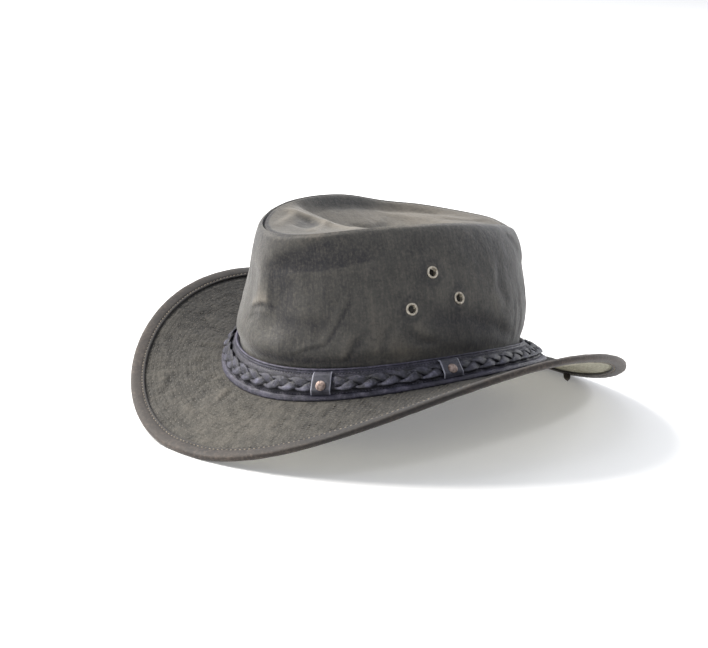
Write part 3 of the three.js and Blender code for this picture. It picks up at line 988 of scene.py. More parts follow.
brimValues = {
    'steps': 760, 'shown': 92, 'hidden': 6, 'layer': 0.9,
    'firstRow': 0.17, 'rowPitch': 0.0425, 'lastRow': 0.87, 'groove': 0.2, 'grooveWidth': 0.6,
    'stitchPitch': 4.05, 'stitch': (2.0, 0.55, 0.5), 'ripples': [(9.0, 5, 0.25), (4.0, 7, 0.2)],
    'radial': (14.0, 1.6), 'radialHeight': 0.45, 'puckers': (42.0, 9.0), 'pucker': 0.5,
    # painted shade, a dark line in the cloth along the tape's inner edge: share out, half share
    'tapeLine': (0.882, 0.01),
    'softFrom': (0.12, 0.2), 'softTo': (0.84, 0.9), 'sinkFrom': (0.83, 0.875), 'edgeSink': 0.35,
    # creases in the quilted cloth: points of (angle, share), half width, depth, lip
    'creases': [
        ([(-12.5, 0.12), (-10.5, 0.24), (-8.5, 0.38)], 1.8, 0.8, 0.8),
        ([(-50, 0.12), (-49, 0.28), (-50, 0.46)], 1.6, 0.9, 0.7),
        ([(-40, 0.26), (-39, 0.38), (-38, 0.52)], 1.6, 0.7, 0.5),
        ([(-33, 0.24), (-33, 0.38), (-32, 0.50)], 1.6, 0.6, 0.5),
        ([(-27, 0.16), (-24, 0.30), (-21, 0.46)], 2.0, 0.9, -0.7),
        ([(-33, 0.60), (-27, 0.72), (-25, 0.84)], 2.0, 0.5, 0.4),
        ([(-60, 0.30), (-62, 0.46), (-66, 0.60)], 2.2, 0.7, 0.5),
        ([(22, 0.36), (21, 0.50), (19, 0.62)], 2.0, 0.8, 0.6),
        ([(8, 0.30), (9, 0.42), (7, 0.55)], 2.0, 0.6, -0.5),
        ([(36, 0.20), (34, 0.36), (33, 0.52)], 2.2, 0.9, 0.7),
        ([(50, 0.16), (52, 0.30), (54, 0.44)], 2.0, 0.7, 0.6),
        ([(-70, 0.55), (-66, 0.66), (-64, 0.74)], 2.6, 0.4, 0.4),
        ([(118, 0.2), (121, 0.34), (120, 0.46)], 2.0, 0.6, 0.5),
        ([(160, 0.2), (163, 0.36), (161, 0.5)], 2.0, 0.6, 0.5),
        ([(-140, 0.2), (-143, 0.4), (-141, 0.5)], 2.0, 0.6, 0.5),
        ([(-100, 0.2), (-97, 0.3), (-99, 0.44)], 2.0, 0.6, 0.5),
    ],
    # places painted dark, mostly as shade on the far and near sides, and below 0 pale, as light on the
    # front: angle, share out, half angle, half share, how much, lean
    'waxAndShade': [
        (-90, 0.5, 40, 1.2, 1.1, 0),
        (54, 0.45, 20, 0.6, 0.9, 0),
        (16, 0.2, 22, 0.18, 0.2, 0),
        (10, 0.6, 22, 0.4, -0.35, 0),
        (90, 0.5, 60, 1.2, 0.4, 0),
    ],
}

brimReach = 130.0       # mm, for lengths round the brim
brimLength = 66.5       # mm, for lengths out along it


def stitchRows():
    v = brimValues
    return np.arange(v['firstRow'], v['lastRow'], v['rowPitch'])


# How far the quilted cloth stands off its plain middle surface, and its wear with painted shading
def quilting(angle, share, side):
    v = brimValues
    nearest = np.min(np.abs(share[:, None] - stitchRows()), axis=1) * brimLength
    groove = -v['groove'] * bell(nearest, 0, v['grooveWidth'])
    ripple = ripples(brimMiddle(angle, share), v['ripples'], side)
    radial = drawnNoise(angle, share, *v['radial'], side)
    pucker = drawnNoise(angle, share, *v['puckers'], 5 + side)
    tucked = smoothStep(*v['softFrom'], share) * (1 - smoothStep(*v['softTo'], share))
    folds = foldsOn(v['creases'], angle, share, brimReach, brimLength) * tucked
    height = groove + (ripple + radial * v['radialHeight'] + pucker * v['pucker']) * tucked + folds
    height -= smoothStep(*v['sinkFrom'], share) * v['edgeSink']
    # painted shade in the stitch grooves and fold valleys, paler where puckers and folds stand up, as light
    # and wear
    wearAndShading = folds * 0.6 + pucker * 0.7 + radial * 0.3 + groove * 1.2
    wearAndShading -= bell(share, *v['tapeLine']) + dentDepth(v['waxAndShade'], angle, share)
    return height, wearAndShading


def brimLayer(name, side, cloth):
    v = brimValues
    layer, angle, section = plainRing(name, v['steps'], v['shown'] + v['hidden'] + 2)
    # the section runs out along the shown face and back along the hidden one
    out = np.linspace(0.0, 1.0, v['shown'] + 1)
    backwards = np.linspace(1.0, 0.0, v['hidden'] + 1)
    share = np.concatenate([out, backwards])[section]
    shown = section <= v['shown']
    outer = brimShape['thickness'] / 2
    inner = outer - v['layer']
    quilted, wearAndShading = quilting(angle, share, side)
    height = np.where(shown, outer + quilted, inner)
    share = np.clip(share, 0.002, 0.998)
    shape = raised(brimMiddle, angle, share, height * side)
    lay(layer, shape, wearAndShading, angle * brimReach, share * brimLength, (2 * math.pi * brimReach, 0))
    facesOut(layer)
    finished(layer, 'brim_cloth', cloth, 'brim')


brimClothValues = dict(
    oilskinValues, dark=srgb(53, 51, 47), light=srgb(74, 71, 65), waxAndShadeColour=srgb(24, 23, 23),
    wornAndLit=srgb(104, 98, 90), roughness=0.72, crumple=3.0, fine=1.7, grain=1.1, streak=0.4, sheen=0.06)
brimUnderValues = dict(
    brimClothValues, dark=srgb(184, 180, 160), light=srgb(208, 203, 183),
    waxAndShadeColour=srgb(148, 145, 128), wornAndLit=srgb(216, 211, 192))

brimLayer('brimUpperCloth', 1, oilskin('brimOilskin', brimClothValues))
brimLayer('brimUnderCloth', -1, oilskin('brimUnderOilskin', brimUnderValues))
print("brim shaped")


# Stitches: one small thread bump, copied along each row

# pale and dark colour of each seam's thread, and noises as scale, detail, roughness
threadValues = {
    'fleck': (260.0, 3.0, 0.6), 'ply': (2200.0, 1.0, 0.5),
    'roughness': 0.6, 'brim': (srgb(106, 101, 91), srgb(66, 63, 57)),
    'under': (srgb(196, 190, 168), srgb(158, 153, 134)),
    'tape': (srgb(150, 138, 122), srgb(96, 87, 76)), 'strap': (srgb(100, 98, 108), srgb(58, 57, 68)),
    'strapRoughness': 0.5,
}


def threadPaint(name, colours, rough=threadValues['roughness']):
    pale, dark = colours
    paint = Paint(name)
    place = paint.place()
    fleck = paint.noise(place, *threadValues['fleck'])
    ply = paint.noise(place, *threadValues['ply'])
    colour = paint.mix(fleck.between(0.3, 0.7), dark, pale)
    return paint.finish(colour, fleck * 0.2 + rough - 0.1, ply, 0.4, 0.0003)


def threadModel(length, width, height):
    model = made('thread', bpy.ops.mesh.primitive_uv_sphere_add, segments=6, ring_count=4, radius=0.5)
    editMode()
    bpy.ops.mesh.select_all(action='SELECT')
    bpy.ops.transform.rotate(value=math.pi / 2, orient_axis='Y', center_override=(0, 0, 0))
    bpy.ops.transform.resize(value=(length * mm, width * mm, height * mm))
    objectMode()
    spots = places(model)
    spots[:, 2] -= height * mm * (spots[:, 0] / (length * mm)) ** 2 * 1.6
    setPlaces(model, spots)
    return model


# The length passed at each point of a line
def passedLengths(line):
    return np.concatenate([[0.0], np.cumsum(np.linalg.norm(np.diff(line, axis=0), axis=1))])


# Evenly spaced seats along a line of the surface, each with its place and axes in metres
def seamFrames(surface, share, pitch, height, flip=1.0, start=0.0, jitter=0.0, seed=0):
    fine = np.linspace(0, 2 * math.pi, 4001)
    along = np.full(fine.shape, share) if np.isscalar(share) else share(fine)
    line = surface(fine, along)
    length = passedLengths(line)
    count = int(round(length[-1] / pitch))
    random = np.random.default_rng(seed)
    marks = (np.arange(count) + start) / count * length[-1]
    angle = np.interp(marks + random.normal(0, jitter, count), length, fine)
    across = np.interp(angle, fine, along)
    normal = normalOf(surface, angle, across) * flip
    place = surface(angle, across) + normal * np.asarray(height)
    ahead = surface(angle + 2e-3, across) - surface(angle - 2e-3, across)
    run = unit(ahead - normal * np.sum(ahead * normal, -1, keepdims=True))
    side = np.cross(normal, run)
    return [(place[k] * mm, np.stack([run[k], side[k], normal[k]])) for k in range(count)]


def brimStitches(name, side, material):
    v = brimValues
    frames = []
    for k, share in enumerate(stitchRows()):
        lift = brimShape['thickness'] / 2 - v['groove'] * 0.75
        frames += seamFrames(brimMiddle, share, v['stitchPitch'], lift, flip=side,
                             start=0.37 * k % 1, jitter=0.2, seed=40 + k)
    row = sewRow(name, threadModel(*v['stitch']), frames)
    finished(row, 'brim_cloth', material)


brimStitches('brimStitchesUpper', 1, threadPaint('brimThread', threadValues['brim']))
brimStitches('brimStitchesUnder', -1, threadPaint('underThread', threadValues['under']))
print("brim stitched")


# The tape folded over the brim's edge

tapeValues = {
    'steps': 640, 'reach': 150.0, 'width': 8.1, 'thickness': 0.8, 'gap': 0.25,
    'dark': srgb(37, 30, 26), 'light': srgb(56, 47, 41), 'wornAndLit': srgb(93, 81, 72),
    'waxAndShadeColour': srgb(18, 15, 14), 'seam': 6.5, 'stitchPitch': 3.2, 'stitch': (1.9, 0.8, 0.8),
    'ripples': [(6.0, 11, 0.24), (2.6, 12, 0.1)], 'ribMm': (0.7, 0.6),
    # noises: scale, detail, roughness
    'cloud': (30.0, 4.0, 0.6), 'fleck': (420.0, 3.0, 0.65),
    # places where the tape is painted dark, as shade: angle, half angle, how much
    'waxAndShade': [(-95, 45, 0.9), (-20, 34, 0.5), (55, 32, 1.3)],
}


# The tape's section: distance in from the brim's edge, and height off its middle surface, with its painted
# shading
def tapeSection():
    v = tapeValues
    slot = brimShape['thickness'] / 2 + v['gap']
    face = slot + v['thickness']
    nose = v['gap'] + v['thickness']
    top = [(v['width'] - 0.1, face - 0.15), (v['width'] - 0.45, face + 0.1), (v['seam'] + 0.6, face + 0.05),
           (v['seam'], face - 0.4), (v['seam'] - 0.7, face + 0.05), (4.6, face + 0.2), (3.0, face + 0.28),
           (1.5, face + 0.2), (0.4, face - 0.08), (-0.4, face * 0.78), (-nose * 0.86, face * 0.46),
           (-nose, 0.0)]
    # painted shade along the inner edge and in the seam's groove, and painted light on the rolled nose
    wearAndShading = [-1.0, -0.6, -0.2, -1.0, 0.0, 0.1, 0.15, 0.25, 0.4, 0.45, 0.4, 0.3]
    under = [(a, -h) for a, h in reversed(top[:-1])]
    inside = [(v['width'], -slot - 0.15), (v['width'] - 0.3, -slot), (v['width'] / 2, -slot),
              (0.3, -slot), (-v['gap'], -slot * 0.6), (-v['gap'], slot * 0.6), (0.3, slot),
              (v['width'] / 2, slot), (v['width'] - 0.3, slot), (v['width'], slot + 0.15)]
    wearAndShading += wearAndShading[-2::-1] + [0.0] * len(inside)
    return np.array(top + under + inside), np.array(wearAndShading), len(top + under)


def brimTape():
    v = tapeValues
    section, wearAndShading, shown = tapeSection()
    tape, angle, index = plainRing('brimTape', v['steps'], len(section))
    inwards, height = section[index].T
    share = 1 - inwards / brimWidth(angle)
    outside = index < shown
    plain = brimMiddle(angle, share)
    ripple = ripples(plain, v['ripples'])
    height = height + np.where(outside, ripple * np.sign(height), 0.0)
    shape = raised(brimMiddle, angle, share, height)
    shape[:, 2] = np.maximum(shape[:, 2], 0.0)
    lengths = passedLengths(section)
    total = lengths[-1] + np.linalg.norm(section[0] - section[-1])
    # paler where the ripples stand up and darker where they sink, as painted light and shade, less the
    # painted shade of the table
    lay(tape, shape, wearAndShading[index] + ripple * 1.2 - roundDepth(v['waxAndShade'], angle),
        angle * v['reach'], lengths[index], (2 * math.pi * v['reach'], total))
    facesOut(tape)
    finished(tape, 'binding_tape', bindingTape, 'brim_binding')


def tapePaint(name, v):
    paint = Paint(name)
    lie = paint.lie()
    place = paint.place()
    cloud = paint.noise(place, *v['cloud'])
    fleck = paint.noise(place, *v['fleck'])
    wearAndShading = paint.wearAndShading()
    run, across = paint.parts(lie)[:2]
    runTurns, acrossTurns = [2 * math.pi / (each * mm) for each in v['ribMm']]
    rib = (run * runTurns).sine() * (across * acrossTurns).sine()
    colour = paint.mix(cloud.between(0.3, 0.7), v['dark'], v['light'])
    colour = paint.mix(fleck.between(0.45, 0.7) * 0.55, colour, v['wornAndLit'])
    # painted shade where the wear value is below 0, and painted light with real wear above it
    colour = paint.mix((wearAndShading * -0.9).aboveZero(), colour, v['waxAndShadeColour'])
    colour = paint.mix((wearAndShading * 0.7).aboveZero(), colour, v['wornAndLit'])
    height = rib * 0.06 + fleck * 0.5
    return paint.finish(colour, cloud * 0.2 + 0.58, height, 0.4, 0.0006, Sheen_Weight=0.2,
                        Sheen_Roughness=0.5, Specular_IOR_Level=0.35)


bindingTape = tapePaint('bindingTape', tapeValues)
brimTape()


def tapeStitches(name, side):
    v = tapeValues
    face = brimShape['thickness'] / 2 + v['gap'] + v['thickness'] - 0.12
    frames = seamFrames(brimMiddle, lambda angle: 1 - v['seam'] / brimWidth(angle), v['stitchPitch'],
                        face, flip=side, jitter=0.08, seed=71)
    frames = [(place, axes) for place, axes in frames if place[2] > 0.0006]
    row = sewRow(name, threadModel(*v['stitch']), frames)
    finished(row, 'binding_tape', tapeThread)


tapeThread = threadPaint('tapeThread', threadValues['tape'])
tapeStitches('tapeStitchesUpper', 1)
tapeStitches('tapeStitchesUnder', -1)

# The tape's trimmed end: a small pointed tongue that lies inwards from under the back of the brim
tongueValues = {
    'angle': 171.5, 'inwards': 6.0, 'length': 11.0, 'width': 4.6, 'thickness': 0.9, 'heading': 45.0,
}


def tapeTongue():
    v = tongueValues
    turn = np.array([math.radians(v['angle'])])
    depth = brimShape['thickness'] / 2 + tapeValues['gap'] + tapeValues['thickness'] * 0.6
    root = raised(brimMiddle, turn, 1 - v['inwards'] / brimWidth(turn), np.array([-depth]))[0]
    tongue = made('tapeTongue', bpy.ops.mesh.primitive_grid_add, x_subdivisions=8, y_subdivisions=10,
                  size=1.0)
    spots = places(tongue)
    along = 0.5 - spots[:, 1]
    narrow = 1 - smoothStep(0.35, 1.0, along) * 0.95
    flat = np.stack([spots[:, 0] * v['width'] * narrow, -along * v['length'], along * 0], -1)
    heading = math.radians(v['heading'])
    across = np.array([math.cos(heading), math.sin(heading), 0.0])
    ahead = np.array([math.sin(heading), -math.cos(heading), 0.0])
    shape = root + flat[:, :1] * across - flat[:, 1:2] * ahead
    shape[:, 2] = np.maximum(root[2] * (1 - along) - 0.6, v['thickness'] / 2 + 0.05)
    # painted light: the tongue, which lies in the brim's shade, is made pale, most at its root
    lay(tongue, shape, 1.0 - along * 0.4, flat[:, 0], flat[:, 1])
    thicken(tongue, 'cloth', v['thickness'], 0)
    applyAll(tongue)
    facesOut(tongue)
    finished(tongue, 'binding_tape', bindingTape, 'brim_binding')


tapeTongue()
print("brim bound")


# Leather strap round the crown, with a padded lower border and a rolled top edge

strapValues = {
    'steps': 520, 'reach': 95.0, 'width': 19.0, 'stitchPitch': 1.95, 'stitch': (1.287, 0.62, 0.55),
    'seams': {'Lower': 0.222, 'Upper': 0.85}, 'seamDepth': 0.12,
    'ripples': [(7.0, 15, 0.26), (3.0, 16, 0.14)],
    # share of the brim's width at the foot: front, sides, back
    'foot': (0.139, 0.188, 0.235), 'gap': 0.3,
    'upper': oval(100.6, 98.0, 82.1, 0.7, 46.2, 54.9, 39.0), 'thickness': 1.6,
    'dark': srgb(38, 37, 50), 'light': srgb(64, 62, 80), 'wornAndLit': srgb(122, 117, 135),
    'waxAndShadeColour': srgb(17, 16, 25),
    # places where the leather is painted dark, as shade: angle, half angle, how much
    'waxAndShade': [(105, 50, 0.8), (-12, 48, 0.4)],
}


def strapShading(angle):
    return roundDepth(strapValues['waxAndShade'], angle)


def strapFoot(angle):
    share = roundHat(*strapValues['foot'], angle)
    height = brimShape['thickness'] / 2 + strapValues['gap']
    return raised(brimMiddle, angle, share, np.full(angle.shape, height))


def strapPlain(angle, up):
    foot = strapFoot(angle)
    return foot + (ovalPlace(strapValues['upper'], angle) - foot) * np.asarray(up)[..., None]


def strapSlant(angle):
    return np.linalg.norm(strapFoot(angle) - ovalPlace(strapValues['upper'], angle), axis=-1)


# The strap's section: share up its face, height off it, and wear with painted shading: dark under the plait
# and in the seams' grooves as shade, paler on the padded border and the rolled top as light
def strapSection():
    t = strapValues['thickness']
    front = [
        (0.0, -0.5, -0.9), (0.008, 0.0, -0.3), (0.03, 0.3, 0.3), (0.07, 0.5, 0.45), (0.12, 0.58, 0.5),
        (0.165, 0.48, 0.4), (0.19, 0.24, 0.1), (0.205, -0.15, -0.7), (0.222, -0.32, -0.6),
        (0.24, -0.15, -0.2), (0.262, -0.02, -0.4), (0.29, 0.0, -1.1), (0.6, 0.0, -1.3), (0.7, 0.0, -0.7),
        (0.8, -0.02, -0.2), (0.83, -0.16, -0.5), (0.85, -0.32, -0.9), (0.868, -0.14, -0.4),
        (0.885, 0.1, 0.1), (0.91, 0.2, 0.1), (0.928, 0.1, -0.5), (0.94, 0.2, -0.5), (0.952, 0.62, 0.3),
        (0.975, 0.86, 0.9), (1.0, 0.66, 0.8), (1.014, 0.1, 0.3), (1.012, -0.6, 0.0), (1.0, -t, 0.0),
    ]
    back = [(0.75, -t, 0.0), (0.4, -t, 0.0), (0.08, -t * 0.8, 0.0)]
    return np.array(front + back)


# the same for all leather: noises as scale, detail, roughness, distortion
leatherValues = {'cloud': (45.0, 4.0, 0.6), 'scuff': (340.0, 5.0, 0.72, 0.4), 'pores': 1400.0}


# Leather with fine pores; an edge is a pale rim, as (from, to, colour) along the piece's own map
def leatherPaint(name, v, edge=None):
    paint = Paint(name)
    place = paint.place()
    wearAndShading = paint.wearAndShading()
    cloud = paint.noise(place, *leatherValues['cloud'])
    scuff = paint.noise(place, *leatherValues['scuff'])
    cells = paint.add('ShaderNodeTexVoronoi', {'feature': 'DISTANCE_TO_EDGE'},
                      {'Vector': place, 'Scale': leatherValues['pores'], 'Randomness': 1.0})
    pores = cells.between(0.0, 0.12)
    colour = paint.mix(cloud.between(0.3, 0.7), v['dark'], v['light'])
    # painted shade where the wear value is below 0, and painted light with real scuffs above it
    colour = paint.mix((wearAndShading * -0.9).aboveZero(), colour, v['waxAndShadeColour'])
    rubbedAndLit = (wearAndShading * 0.55).aboveZero() + (scuff - 0.5) * 2.0
    colour = paint.mix(rubbedAndLit.aboveZero(), colour, v['wornAndLit'])
    if edge:
        lie = paint.lie()
        rim = abs(paint.parts(lie)[0]).between(edge[0], edge[1])
        colour = paint.mix(rim * (scuff * 0.5 + 0.55), colour, edge[2])
    roughness = scuff * 0.35 + 0.3
    height = pores * 0.5 + scuff * 1.2
    return paint.finish(colour, roughness, height, 0.5, 0.0006, Specular_IOR_Level=0.5)


strapLeather = leatherPaint('strapLeather', strapValues)


def leatherStrap():
    v = strapValues
    section = strapSection()
    strap, angle, index = plainRing('leatherStrap', v['steps'], len(section))
    up, height, wearAndShading = section[index].T
    plain = strapPlain(angle, up)
    wave = ripples(plain, v['ripples'])
    height = height + np.where(height > -0.55, wave, 0.0)
    shape = raised(strapPlain, angle, up, height)
    # paler where the leather ripples up and darker where it sinks, as painted light and shade, less the
    # painted shade of the table
    lay(strap, shape, wearAndShading + wave - strapShading(angle),
        angle * v['reach'], up * v['width'], (2 * math.pi * v['reach'], 0))
    facesOut(strap)
    finished(strap, 'strap_leather', strapLeather, 'band_strap')


leatherStrap()

strapThread = threadPaint('strapThread', threadValues['strap'], threadValues['strapRoughness'])


def strapStitches(name, up):
    v = strapValues
    frames = seamFrames(strapPlain, up, v['stitchPitch'], -v['seamDepth'], jitter=0.05, seed=23)
    row = sewRow(name, threadModel(*v['stitch']), frames)
    finished(row, 'strap_leather', strapThread)


for seamName, seamHeight in strapValues['seams'].items():
    strapStitches(f'strapStitches{seamName}', seamHeight)
print("strap laid")


# Three-strand plait along the middle of the strap, squeezed flat under the keepers

keeperValues = {
    'angles': [29, 75.5, -151, -104.5], 'reach': 97.0, 'width': 11.7, 'low': 0.195, 'high': 0.885,
    'thickness': 1.0, 'base': 0.35, 'arch': 1.95, 'riseTo': 0.32, 'fallFrom': 0.76, 'bevel': 0.22,
    'stud': 0.44, 'squeeze': 0.42, 'clear': (4.5, 9.5),
    'edge': (0.0051, 0.0057, srgb(176, 176, 190)),
    'dark': srgb(44, 44, 54), 'light': srgb(66, 66, 78), 'wornAndLit': srgb(98, 96, 108), 'waxAndShadeColour': srgb(26, 26, 33),
}

plaitValues = {
    'strands': 3, 'turns': 16, 'middle': 0.5, 'swing': 3.0, 'lift': 0.95, 'seat': 1.2,
    'halfWidth': 2.9, 'halfThick': 0.72, 'roll': 0.14, 'taper': 0.7, 'steps': 900, 'sides': 16,
    'dark': srgb(32, 31, 43), 'light': srgb(54, 53, 69), 'wornAndLit': srgb(125, 124, 145), 'waxAndShadeColour': srgb(8, 8, 13),
}


# How flat the plait is pressed: 1 where it lies free, less under the keepers
def squeezed(angle):
    v = keeperValues
    total = np.ones(angle.shape)
    for turn in v['angles']:
        away = (angle - math.radians(turn) + math.pi) % (2 * math.pi) - math.pi
        near = 1 - smoothStep(*v['clear'], np.abs(away) * v['reach'])
        total -= v['squeeze'] * near
    return total


def softPower(value, power):
    return np.sign(value) * np.abs(value) ** power


def plaitStrand(number):
    v = plaitValues
    reach = strapValues['reach']
    strand, angle, index = plainRing(f'plaitStrand{number + 1}', v['steps'], v['sides'])
    part = index / v['sides'] * 2 * math.pi
    slant = strapSlant(angle)
    phase = -angle * v['turns'] + number * 2 * math.pi / v['strands']
    flat = squeezed(angle)
    sway = v['swing'] * np.sin(phase)
    over = np.sin(2 * phase)
    lift = v['lift'] * np.where(over > 0, over, over * 0.45) * flat
    # a strand is flat leather: its width lies square to its own run
    run = -v['swing'] * np.cos(phase) * v['turns'] / reach
    lean = np.arctan(run)
    squash = softPower(np.cos(part), 0.9)
    domed = softPower(np.sin(part), 0.8)
    wide = v['halfWidth'] * squash * (1 - v['taper'] * np.sin(phase - 0.45) ** 2)
    roll = v['roll'] * np.cos(2 * phase + 0.6) * flat
    across = sway + wide * np.cos(lean)
    shift = -wide * np.sin(lean)
    height = v['seat'] * flat + lift + v['halfThick'] * domed * flat + wide * roll
    turn = angle + shift / reach
    up = v['middle'] + across / slant
    shape = raised(strapPlain, turn, up, height)
    rumple = rumpled(shape, 3.0, 31 + number)
    shape += (rumple * 0.2)[:, None] * normalOf(strapPlain, turn, up)
    crown = smoothStep(0.4, 0.92, np.abs(np.sin(part))) * (domed > 0)
    upper = smoothStep(-0.3, 0.9, np.sin(phase))
    # each leaf is painted light on its domed top and in its middle, a little less in the upper row, and
    # painted dark as shade at its sides and where it comes out from or goes under a strand
    leaf = phase % math.pi
    rubbedAndLit = smoothStep(0.0, 0.45, leaf) * (1 - smoothStep(1.55, 2.1, leaf))
    paintedLeafLight = crown * (1.75 - upper * 0.4) * (0.2 + 0.8 * rubbedAndLit)
    lay(strand, shape, paintedLeafLight - 1.25 + rumple * 0.8 - strapShading(angle) * 0.8,
        angle * reach, part * 2.0, (2 * math.pi * reach, 4 * math.pi))
    facesOut(strand)
    finished(strand, 'braid_leather', plaitLeather, 'band_braid')


plaitLeather = leatherPaint('plaitLeather', plaitValues)
for strandNumber in range(plaitValues['strands']):
    plaitStrand(strandNumber)
print("plait laid")


# Keepers over the plait, each with a domed stud

def keeperHeight(up):
    v = keeperValues
    rise = smoothStep(v['low'], v['riseTo'], up) * (1 - smoothStep(v['fallFrom'], v['high'], up))
    return v['base'] + v['arch'] * rise ** 0.8


def keeper(number, turn):
    v = keeperValues
    patch = made(f'keeper{number}', bpy.ops.mesh.primitive_grid_add, x_subdivisions=26,
                 y_subdivisions=30, size=2.0)
    spots = places(patch)
    side, rise = spots[:, 0].copy(), (spots[:, 1] + 1) / 2
    up = v['low'] + (v['high'] - v['low']) * rise
    angle = math.radians(turn) + side * v['width'] / 2 / v['reach']
    height = keeperHeight(up)
    plain = strapPlain(angle, up)
    height = height + rumpled(plain, 4.0, 50 + number) * 0.24 - 0.2 * (np.abs(side) > 0.93)
    shape = raised(strapPlain, angle, up, height)
    lay(patch, shape, rumpled(plain, 5.0, 60 + number) * 0.5, side * v['width'] / 2, rise * 15.0)
    facesOut(patch)
    middle = patch.data.polygons[len(patch.data.polygons) // 2]
    if Vector(unit(shape.mean(0))).dot(middle.normal) < 0:
        edited(patch, bpy.ops.mesh.flip_normals)
    thicken(patch, 'leather', v['thickness'], 1)
    bevel = patch.modifiers.new('edge', 'BEVEL')
    bevel.width = v['bevel'] * mm
    bevel.segments = 2
    bevel.limit_method = 'ANGLE'
    bevel.angle_limit = math.radians(50)
    applyAll(patch)
    finished(patch, 'keeper_leather', keeperLeather, f'band_keeper_{number}')


keeperLeather = leatherPaint('keeperLeather', keeperValues, keeperValues['edge'])

studValues = {'radius': 3.15, 'height': 1.1, 'colour': srgb(160, 143, 136), 'dark': srgb(94, 79, 73)}


# the same for all brass: noises as scale, detail, roughness
brassValues = {'age': (520.0, 4.0, 0.65), 'pits': (1500.0, 2.0, 0.5)}


def brassPaint(name, colour, dark, roughness=0.38):
    paint = Paint(name)
    place = paint.place()
    age = paint.noise(place, *brassValues['age'])
    pits = paint.noise(place, *brassValues['pits'])
    colour = paint.mix(age.between(0.4, 0.7), colour, dark)
    return paint.finish(colour, age * 0.35 + roughness - 0.1, pits * 0.6 + age * 1.4, 0.6, 0.0006,
                        Metallic=0.8)


studBrass = brassPaint('studBrass', studValues['colour'], studValues['dark'])


# A turned piece: half a profile of (radius, height) pairs spun round its own axis
def turned(name, profile, steps):
    spots = [(r * mm, 0.0, h * mm) for r, h in profile]
    piece = meshPiece(name, spots, [(k, k + 1) for k in range(len(profile) - 1)], [])
    edited(piece, bpy.ops.mesh.spin, steps=steps, angle=2 * math.pi, center=(0, 0, 0), axis=(0, 0, 1))
    edited(piece, bpy.ops.mesh.remove_doubles, threshold=0.00001)
    facesOut(piece)
    return piece


def seat(piece, middle, across, upwards, out):
    axes = Matrix((Vector(across), Vector(upwards), Vector(out))).transposed()
    piece.matrix_world = Matrix.Translation(Vector(middle * mm)) @ axes.to_4x4()


def stud(number, turn):
    v = studValues
    r, h = v['radius'], v['height']
    profile = [(0.0, -0.6), (r * 0.9, -0.6), (r, -0.2), (r, 0.2), (r - 0.25, 0.42), (r - 0.5, 0.42),
               (r - 0.7, 0.55), (r * 0.66, h * 0.8), (r * 0.45, h * 0.95), (r * 0.2, h), (0.0, h)]
    head = turned(f'stud{number}', profile, 40)
    angle, up = np.array([math.radians(turn)]), np.array([keeperValues['stud']])
    middle = raised(strapPlain, angle, up, keeperHeight(up) + keeperValues['thickness'])[0]
    seat(head, middle, *standing(normalOf(strapPlain, angle, up)[0]))
    finished(head, 'stud_metal', studBrass, f'band_stud_{number}')


for number, turn in enumerate(keeperValues['angles'], 1):
    keeper(number, turn)
    stud(number, turn)
print("keepers and studs set")


# Vent eyelets: a rolled ring outside and a washer inside

eyeletBrass = brassPaint('eyeletBrass', srgb(210, 202, 188), srgb(150, 140, 122), 0.42)


def eyelet(side, name, number, turn, height):
    v = eyeletValues
    r, hole = v['flange'], v['hole']
    back = -(wallValues['thickness'] + 0.35)
    tube = v['tube'] - 0.25
    profile = [(hole, back - 0.3), (hole + 0.4, back - 0.55), (3.4, back - 0.4), (3.5, back),
               (tube, back), (tube, -0.3), (r - 0.15, -0.2), (r, 0.05), (r - 0.08, 0.35),
               (r - 0.4, 0.68), (r - 0.9, 0.78), (hole + 0.3, 0.6), (hole, 0.2), (hole, back - 0.3)]
    ring = turned(f'eyelet{name}{number}', profile, 40)
    seat(ring, *eyeletSeat(side * math.radians(turn), height))
    finished(ring, 'eyelet_metal', eyeletBrass, f'eyelet_{name.lower()}_{number}')


for side, sideName in ((1, 'Left'), (-1, 'Right')):
    for number, (turn, height) in enumerate(eyeletValues['places'], 1):
        eyelet(side, sideName, number, turn, height)
print("eyelets set")


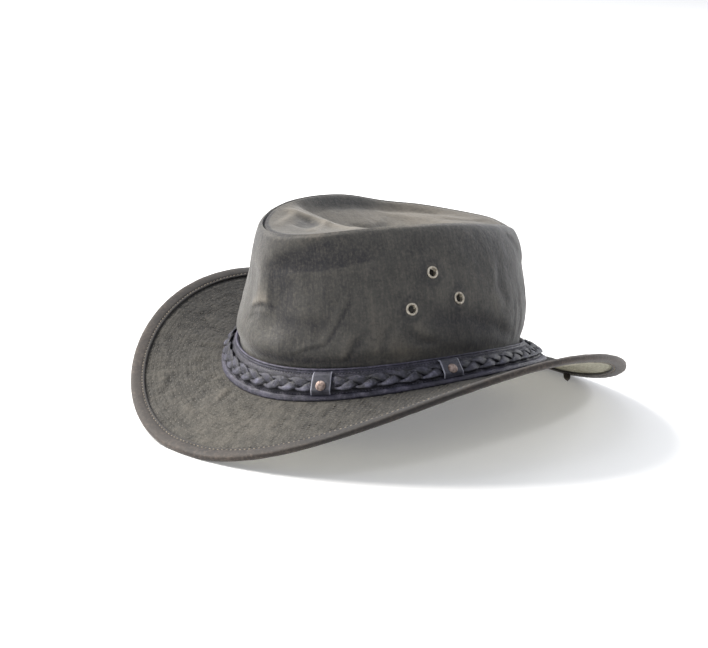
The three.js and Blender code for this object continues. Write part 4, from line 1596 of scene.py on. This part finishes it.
# Floor and light

studioValues = {
    'floor': srgb(235, 235, 235), 'glow': 0.2, 'world': 0.5, 'air': (0.93, 0.97, 1.05, 1.0),
    'lights': [
        # place, size, watts, colour
        ((-1.61, -0.97, 1.58), 1.6, 128.0, (1.0, 0.97, 0.92)),
        ((-0.6, -0.3, 2.2), 2.0, 10.0, (1.0, 1.0, 1.0)),
        ((-0.4, 2.4, 0.9), 0.9, 14.0, (1.0, 1.0, 1.0)),
    ],
    # a soft lamp that opens up the hat's shadow on the floor: place, aim, cone in degrees, watts
    'lamp': ((1.5, 0.9, 1.5), (0.47, 0.27, 0.0), 24.0, 90.0),
}


def studio(v):
    floor = made('studioFloor', bpy.ops.mesh.primitive_plane_add, size=14.0, location=(0, 0, 0))
    paint = Paint('paleFloor')
    place = paint.place()
    grain = paint.noise(place, 40.0, 2.0, 0.5)
    glow = {'Emission_Color': (1.0, 1.0, 1.0, 1.0), 'Emission_Strength': v['glow']}
    floor.data.materials.append(paint.finish(v['floor'], grain * 0.1 + 0.75, **glow))
    bpy.context.scene.view_settings.view_transform = 'Standard'
    world = bpy.data.worlds.new('studioAir')
    bpy.context.scene.world = world
    world.use_nodes = True
    air = world.node_tree.nodes['Background']
    air.inputs['Color'].default_value = v['air']
    air.inputs['Strength'].default_value = v['world']
    for spot, size, watts, colour in v['lights']:
        bpy.ops.object.light_add(type='AREA', location=spot)
        light = bpy.context.object
        light.data.shape = 'DISK'
        light.data.size = size
        light.data.energy = watts
        light.data.color = colour
        light.rotation_euler = (-Vector(spot)).to_track_quat('-Z', 'Y').to_euler()
    spot, aim, cone, watts = v['lamp']
    bpy.ops.object.light_add(type='SPOT', location=spot)
    lamp = bpy.context.object
    lamp.data.energy = watts
    lamp.data.spot_size = math.radians(cone)
    lamp.data.spot_blend = 1.0
    lamp.data.shadow_soft_size = 0.3
    lamp.rotation_euler = (Vector(aim) - Vector(spot)).to_track_quat('-Z', 'Y').to_euler()


studio(studioValues)
print("studio lit")
